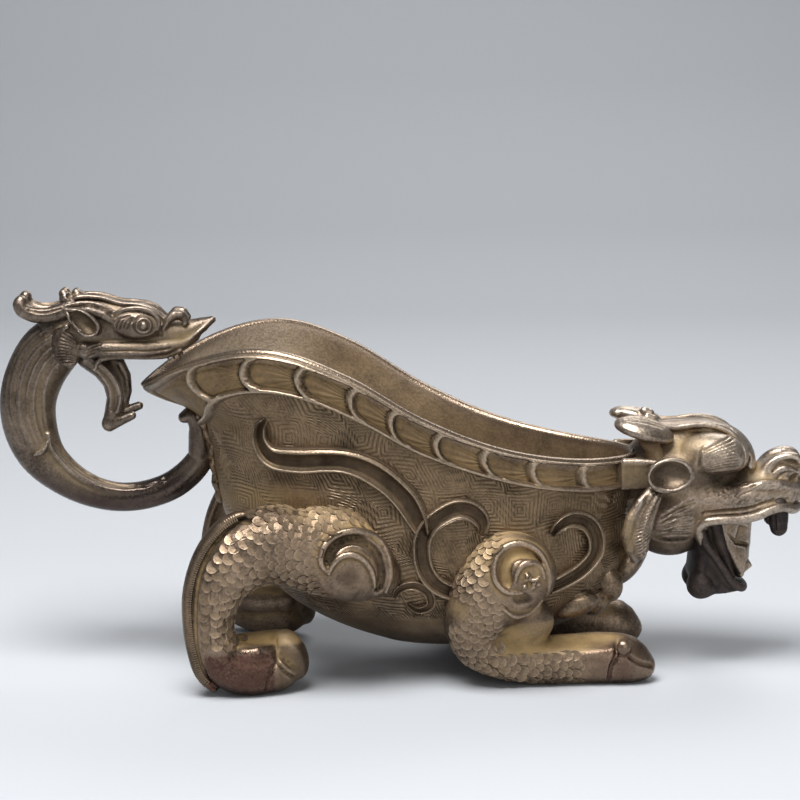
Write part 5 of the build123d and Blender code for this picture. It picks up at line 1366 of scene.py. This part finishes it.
def buildDragonHead():
    clay = Clay((-72, -9, 59), (-35, 0, 79), dragonHead["step"])
    clay.stroke([(-68.0, 0, 68.6, 4.6, 0.92), (-60.4, 0, 68.8, 5.6, 0.86), (-53.0, 0, 68.8, 4.8, 0.98),
                 (-47.6, 0, 67.4, 3.6, 1.1), (-43.4, 0, 67.4, 2.7, 1.15), (-39.8, 0, 69.1, 1.5, 1.25),
                 (-37.6, 0, 70.2, 0.7, 1.5)], 0.8)
    clay.stroke([(-65.2, 0, 73.4, 1.4, 1.8), (-59.6, 0, 73.6, 1.4, 2.0), (-55.2, 0, 72.6, 1.2, 2.2),
                 (-51.6, 0, 72.4, 1.2, 2.2), (-48.6, 0, 71.0, 1.0, 2.0),
                 (-46.8, 0, 69.4, 0.8, 2.0)], 0.6)  # bridge along the crown
    clay.stroke([(-65.0, -4.6, 72.2, 0.9), (-61.6, -5.0, 72.6, 1.1), (-58.6, -5.0, 71.8, 1.0),
                 (-56.8, -4.8, 70.6, 0.7)], 0.5)
    clay.stroke(thick(atY(spaced(dragonHead["browFold"], 18, 2), -4.4), 0.5), 0.2)
    clay.stroke([(-63.6, -3.5, 74.8, 0.4), (-59.4, -3.7, 74.5, 0.55), (-56.4, -3.8, 73.2, 0.5),
                 (-53.4, -3.8, 73.6, 0.3)], 0.25, True)
    clay.stroke(thick(atY(spaced(dragonHead["crown"], 26, 2), -2.4), 0.55), 0.2)
    clay.ball((-52.5, -4.0, 69.7), (5.2, 2.3, 2.9), -6, 0.35)  # swollen eye
    clay.stroke(thick(atY(spaced(dragonHead["eyeBrow"], 24, 2), -4.8), 0.5), 0.22)
    for i in range(4):  # creases behind the eyeball
        clay.groove([(-56.4 + 0.75 * i, 68.9 + 0.1 * i, 0.16), (-55.6 + 0.8 * i, 70.9 - 0.1 * i, 0.24),
                     (-53.4 + 0.6 * i, 71.7 - 0.3 * i, 0.16)], 0.15)
    eyeX, eyeZ = dragonHead["eye"]
    turn = np.radians(np.linspace(0, 360, 33))
    around, ring = np.c_[np.cos(turn), np.sin(turn)], dragonHead["eyeRing"]
    clay.groove(thick((eyeX, eyeZ) + (ring + 0.5) * around, 0.25), 0.15)
    clay.line(thick((eyeX, eyeZ) + ring * around, 0.26), 0.15, 0.1)
    clay.ball((eyeX, -6.1, eyeZ), (0.85, 0.7, 0.85), 0, 0.15)
    clay.groove([(-47.5, 71.6, 0.4), (-47.3, 69.4, 0.5), (-47.7, 67.6, 0.45)], 0.25)  # crease before the eye
    clay.stroke([(-63.0, -5.6, 67.6, 0.6), (-58.0, -6.2, 66.9, 0.8), (-52.4, -6.2, 66.5, 0.9),
                 (-48.2, -5.2, 67.0, 0.7)], 0.4, True)
    clay.stroke([(-62.6, -4.1, 64.6, 1.7, 0.8), (-58.0, -4.4, 64.8, 1.6, 0.8), (-51.0, -4.2, 64.8, 1.5, 0.8),
                 (-46.6, -3.5, 65.0, 1.4, 0.8), (-43.2, -2.5, 65.6, 1.1, 0.9), (-41.0, -1.8, 67.0, 1.0, 1.0)],
                0.5)  # lip bar
    clay.stroke([(-58.6, 0, 61.2, 1.6, 2.2), (-52.0, 0, 61.6, 1.7, 2.2), (-46.0, 0, 62.2, 1.4, 2.2)], 0.4,
                True)  # mouth
    edge = spaced(dragonHead["lipEdge"], 30, 2)
    clay.stroke(thick(atY(edge, np.linspace(-4.9, -3.4, 30)), 0.5), 0.2)
    clay.groove([(-58.6, 64.6, 0.3), (-54.0, 64.7, 0.32), (-49.0, 64.6, 0.3), (-45.6, 65.0, 0.25)], 0.2)
    hairGrooves(clay, [(-61.8, 64.9), (-62.0, 64.1), (-62.1, 63.2)],
                [(-59.4, 65.9), (-59.9, 65.1), (-60.6, 64.3)], 0.2, 0.2)
    clay.stroke([(-47.0, -3.4, 69.0, 0.6), (-46.2, -3.2, 70.4, 0.8), (-45.0, -2.8, 71.4, 1.0),
                 (-43.7, -2.4, 71.4, 1.0), (-42.8, -2.2, 70.4, 0.8),
                 (-42.9, -2.6, 69.7, 0.5)], 0.4)  # curled nostril
    clay.ball((-44.3, -4.0, 70.2), (0.7, 0.9, 0.5), 10, 0.2, True)
    # hollow side of the snout
    clay.stroke([(-46.4, -5.0, 68.0, 1.0), (-43.4, -4.6, 67.6, 1.4), (-40.9, -3.7, 68.6, 1.0)], 0.5, True)
    clay.stroke([(-44.6, -3.0, 65.6, 0.45), (-42.2, -2.9, 66.4, 0.45), (-40.3, -2.4, 68.0, 0.45),
                 (-38.0, -1.0, 69.8, 0.4)], 0.2)
    clay.ball((-66.4, -4.2, 65.2), (2.7, 1.6, 4.2), 14, 0.4)  # gill fan with its rim
    clay.stroke([(-68.2, -3.8, 61.2, 0.5), (-69.0, -4.2, 64.6, 0.6), (-68.0, -4.6, 67.6, 0.6),
                 (-66.0, -4.8, 69.4, 0.55)], 0.2)
    rise = np.linspace(0, 1, 11)
    hairGrooves(clay, zip(-68.4 + 2.2 * rise ** 2, 62.0 + 6.8 * rise),
                zip(-64.2 + 0.4 * rise, 62.2 + 4.6 * rise), 0.2, 0.2)
    # tuft, two leaf tips
    clay.stroke([(-64.4, -1.6, 72.6, 1.5), (-66.4, -1.6, 74.6, 1.4), (-66.9, -1.4, 75.5, 1.0)], 0.4)
    clay.ball((-65.4, -2.9, 75.6), (0.9, 0.8, 1.0), 0, 0.3, True)
    clay.stroke([(-62.4, -0.6, 73.4, 1.6), (-64.2, -0.6, 75.0, 1.2), (-64.5, -0.5, 75.6, 0.9)], 0.4)
    for x in (-46.6, -45.4, -44.2):  # small teeth
        clay.stroke([(x, -2.6, 63.9, 0.42), (x + 0.3, -2.5, 62.6, 0.2)], 0.15)
    points, faces, marks = clay.cast(True, 5, 0.1, 0.4)
    x, y, z = points.T
    snout = softSpot(x, z, -43.2, 67.4, 2.8, 1.8)
    # lower part of the swollen eye, painted dark as shade
    lidShade = softSpot(x, z, -54, 68.4, 3.2, 1.8)
    fan = softSpot(x, z, -66.6, 64.8, 2.4, 3.4)
    lipBar = softSpot(x, z, -51, 65.4, 7, 1.2)
    marks["earth"] += snout * 0.8 + lipBar * 0.5 - lidShade * 0.4 - fan * 0.3
    marks["line"] += lidShade * 0.35 + fan * 0.3
    marks["rubAndHighlight"] -= lidShade * 0.5 + fan * 0.4
    makePiece("dragonHead", points, faces, handleFinish, ["dragon_head"], marks, 70)


dragonHorn = dict(
    step=0.18, cutLine=[(-67.2, 73.0, 0.2), (-70.8, 72.2, 0.24), (-73.4, 72.7, 0.18)],
    body=[(-65.4, -3.2, 73.0, 1.6), (-68.0, -3.4, 71.9, 1.7), (-70.8, -3.5, 71.5, 1.65),
          (-73.4, -3.6, 71.9, 1.55), (-75.0, -3.6, 72.9, 1.5), (-75.3, -3.5, 73.8, 1.4),
          (-75.1, -3.4, 74.3, 1.2)],
    hollow=[(-67.0, -2.8, 74.2, 0.5), (-69.4, -3.0, 73.3, 0.7), (-71.6, -3.1, 73.2, 0.75),
            (-73.4, -3.1, 74.0, 0.6)])


def buildDragonHorns():
    clay = Clay((-79, -6.5, 68), (-63, -0.6, 78), dragonHorn["step"])
    clay.stroke(spaced(dragonHorn["body"], 30), 0.3)
    clay.stroke(spaced(dragonHorn["hollow"], 16), 0.25, True)
    clay.groove(dragonHorn["cutLine"], 0.15)
    points, faces, marks = clay.cast(False, 6, 0.12, 0.4)
    bothSides("dragonHorn", points, faces, handleFinish, "dragon_horn", marks, 60)


dragonEar = dict(
    step=0.18, rimRadius=0.42, turn=-42, root=[(-60.4, -4.4, 69.0, 1.5), (-61.8, -5.4, 70.0, 1.8)],
    leaf=((-62.6, -5.6, 70.5), (3.6, 1.5, 2.2)), hollow=((-62.5, -7.6, 70.5), (3.2, 2.1, 1.75)),
    rim=[(-66.0, -6.2, 73.0), (-63.2, -7.0, 72.7), (-60.8, -7.0, 71.4), (-59.6, -6.6, 69.8),
         (-60.2, -6.6, 68.4), (-61.8, -6.9, 68.0), (-63.6, -7.2, 69.6), (-65.2, -6.9, 71.6),
         (-66.0, -6.2, 73.0)])


def buildDragonEars():
    clay = Clay((-70, -9, 65), (-56, -3.5, 76), dragonEar["step"])
    clay.ball(*dragonEar["leaf"], dragonEar["turn"], 0.5)
    clay.stroke(dragonEar["root"], 0.5)
    clay.stroke(thick(spaced(dragonEar["rim"], 50), dragonEar["rimRadius"]), 0.25)
    clay.ball(*dragonEar["hollow"], dragonEar["turn"], 0.2, True)
    points, faces, marks = clay.cast(False, 6, 0.12, 0.35)
    x, y, z = points.T
    # upper part of the ear's hollow, painted dark as shade
    marks["line"] += 0.5 * ease((z - 70.6) - 0.4 * (x + 62.6), 0, 1.2) * ease(-5.4 - y, -0.6, 0.2)
    bothSides("dragonEar", points, faces, handleFinish, "dragon_ear", marks, 60)


# Hooked jaw, a channel between two edges, two toes at its end
dragonJaw = dict(
    step=0.2, edgeRadius=0.5,
    cutLine=[(-60.6, 61.0, 0.35), (-58.6, 58.8, 0.4), (-57.4, 55.8, 0.4), (-57.8, 52.2, 0.35)],
    body=[(-62.4, 0, 62.6, 2.4, 1.4), (-59.6, 0, 60.4, 2.2, 1.4), (-57.6, 0, 57.6, 2.0, 1.4),
          (-57.0, 0, 54.4, 1.9, 1.35), (-57.6, 0, 51.4, 1.8, 1.3), (-58.2, 0, 49.8, 1.6, 1.3)],
    farEdge=[(-60.4, 2.4, 62.0, 1.2), (-56.6, 2.5, 61.0, 1.2), (-55.4, 2.5, 58.4, 1.15),
             (-55.2, 2.4, 55.4, 1.1), (-55.8, 2.3, 52.8, 1.0)],
    channel=[(-57.6, 0.4, 61.2, 0.8), (-55.9, 0.4, 58.2, 0.9), (-55.2, 0.4, 55.0, 0.85),
             (-55.9, 0.4, 52.2, 0.7)],
    nearEdge=[(-60.6, -2.4, 62.0), (-58.4, -2.5, 60.2), (-56.7, -2.5, 57.6), (-56.0, -2.4, 54.8),
              (-56.6, -2.3, 52.0)],
    toes=([(-58.4, -0.6, 49.2, 1.6), (-56.2, -1.2, 50.0, 1.1), (-53.8, -1.4, 51.0, 0.85)],
          [(-57.4, 1.2, 50.6, 1.2), (-54.8, 1.8, 51.6, 1.0), (-52.7, 2.0, 52.4, 0.85)]))


def buildDragonJaw():
    clay = Clay((-66, -6, 45), (-49, 6, 66), dragonJaw["step"])
    clay.stroke(dragonJaw["body"], 0.5)
    clay.stroke(dragonJaw["farEdge"], 0.5)
    clay.stroke(dragonJaw["channel"], 0.4, True)
    clay.stroke(thick(spaced(dragonJaw["nearEdge"], 20), dragonJaw["edgeRadius"]), 0.25)
    clay.groove(dragonJaw["cutLine"], 0.3)
    for toe in dragonJaw["toes"]:
        clay.stroke(toe, 0.3)
    points, faces, marks = clay.cast(False, 6, 0.12, 0.35)
    makePiece("dragonJaw", points, faces, handleFinish, ["dragon_jaw"], marks, 70)


for build in (buildLoop, buildSolder, buildDragonHead, buildDragonHorns, buildDragonEars, buildDragonJaw):
    build()
print("dragon handle ready")

# Studio: pale floor that rolls up into a backdrop, a broad soft lamp above, weaker ones in front and behind.
# The sweep of the floor is given as y, z in m
studio = dict(
    floor="#b9bcc0", room="#d9dde2", roomLight=0.22, eye=(-0.3, -512.1, 144.2), look=(-0.3, 0.0, 53.9),
    lens=117.0,
    sweep=[(-1.2, 0), (0.5, 0), (0.62, 0.02), (0.71, 0.08), (0.76, 0.17), (0.78, 0.3), (0.78, 1.4)],
    lamps=[("broadLamp", (-0.1, -0.22, 0.58), 0.36, 6.0), ("frontLamp", (0.3, -0.7, 0.3), 0.5, 1.1),
           ("backLamp", (0.15, 0.45, 0.5), 0.35, 1.6)])  # place and size in m, watts


def aim(thing, place, target):
    thing.location = place
    thing.rotation_euler = (Vector(target) - Vector(place)).to_track_quat("-Z", "Y").to_euler()


def setStudio():
    sheet = bpy.data.meshes.new("paleFloor")
    turns = studio["sweep"]
    points = [(x, y, z) for y, z in turns for x in (-1.6, 1.6)]
    sheet.from_pydata(points, [], [(2 * i, 2 * i + 1, 2 * i + 3, 2 * i + 2) for i in range(len(turns) - 1)])
    for face in sheet.polygons:
        face.use_smooth = True
    paper = bpy.data.materials.new("paleStudioPaper")
    paper.use_nodes = True
    shader = paper.node_tree.nodes["Principled BSDF"]
    shader.inputs["Base Color"].default_value = linear(studio["floor"])
    shader.inputs["Roughness"].default_value = 0.7
    sheet.materials.append(paper)
    floor = addObject("paleFloor", sheet)
    world = bpy.data.worlds.new("softRoom")
    world.use_nodes = True
    background = world.node_tree.nodes["Background"].inputs
    background["Color"].default_value = linear(studio["room"])
    background["Strength"].default_value = studio["roomLight"]
    bpy.context.scene.world = world
    for name, place, size, power in studio["lamps"]:
        lamp = bpy.data.lights.new(name, "AREA")
        lamp.size, lamp.energy = size, power
        aim(addObject(name, lamp), place, (0, 0, 0.03))
    lens = bpy.data.cameras.new("camera")
    lens.lens, lens.sensor_width = studio["lens"], 36.0
    lens.clip_start, lens.clip_end = 0.01, 20.0
    camera = addObject("camera", lens)
    aim(camera, Vector(studio["eye"]) * mm, Vector(studio["look"]) * mm)
    bpy.context.scene.camera = camera
    bpy.context.scene.view_settings.view_transform = "Standard"


for tile in (scaleTile, ribTile):
    bpy.data.objects.remove(tile)

setStudio()
print("studio ready")
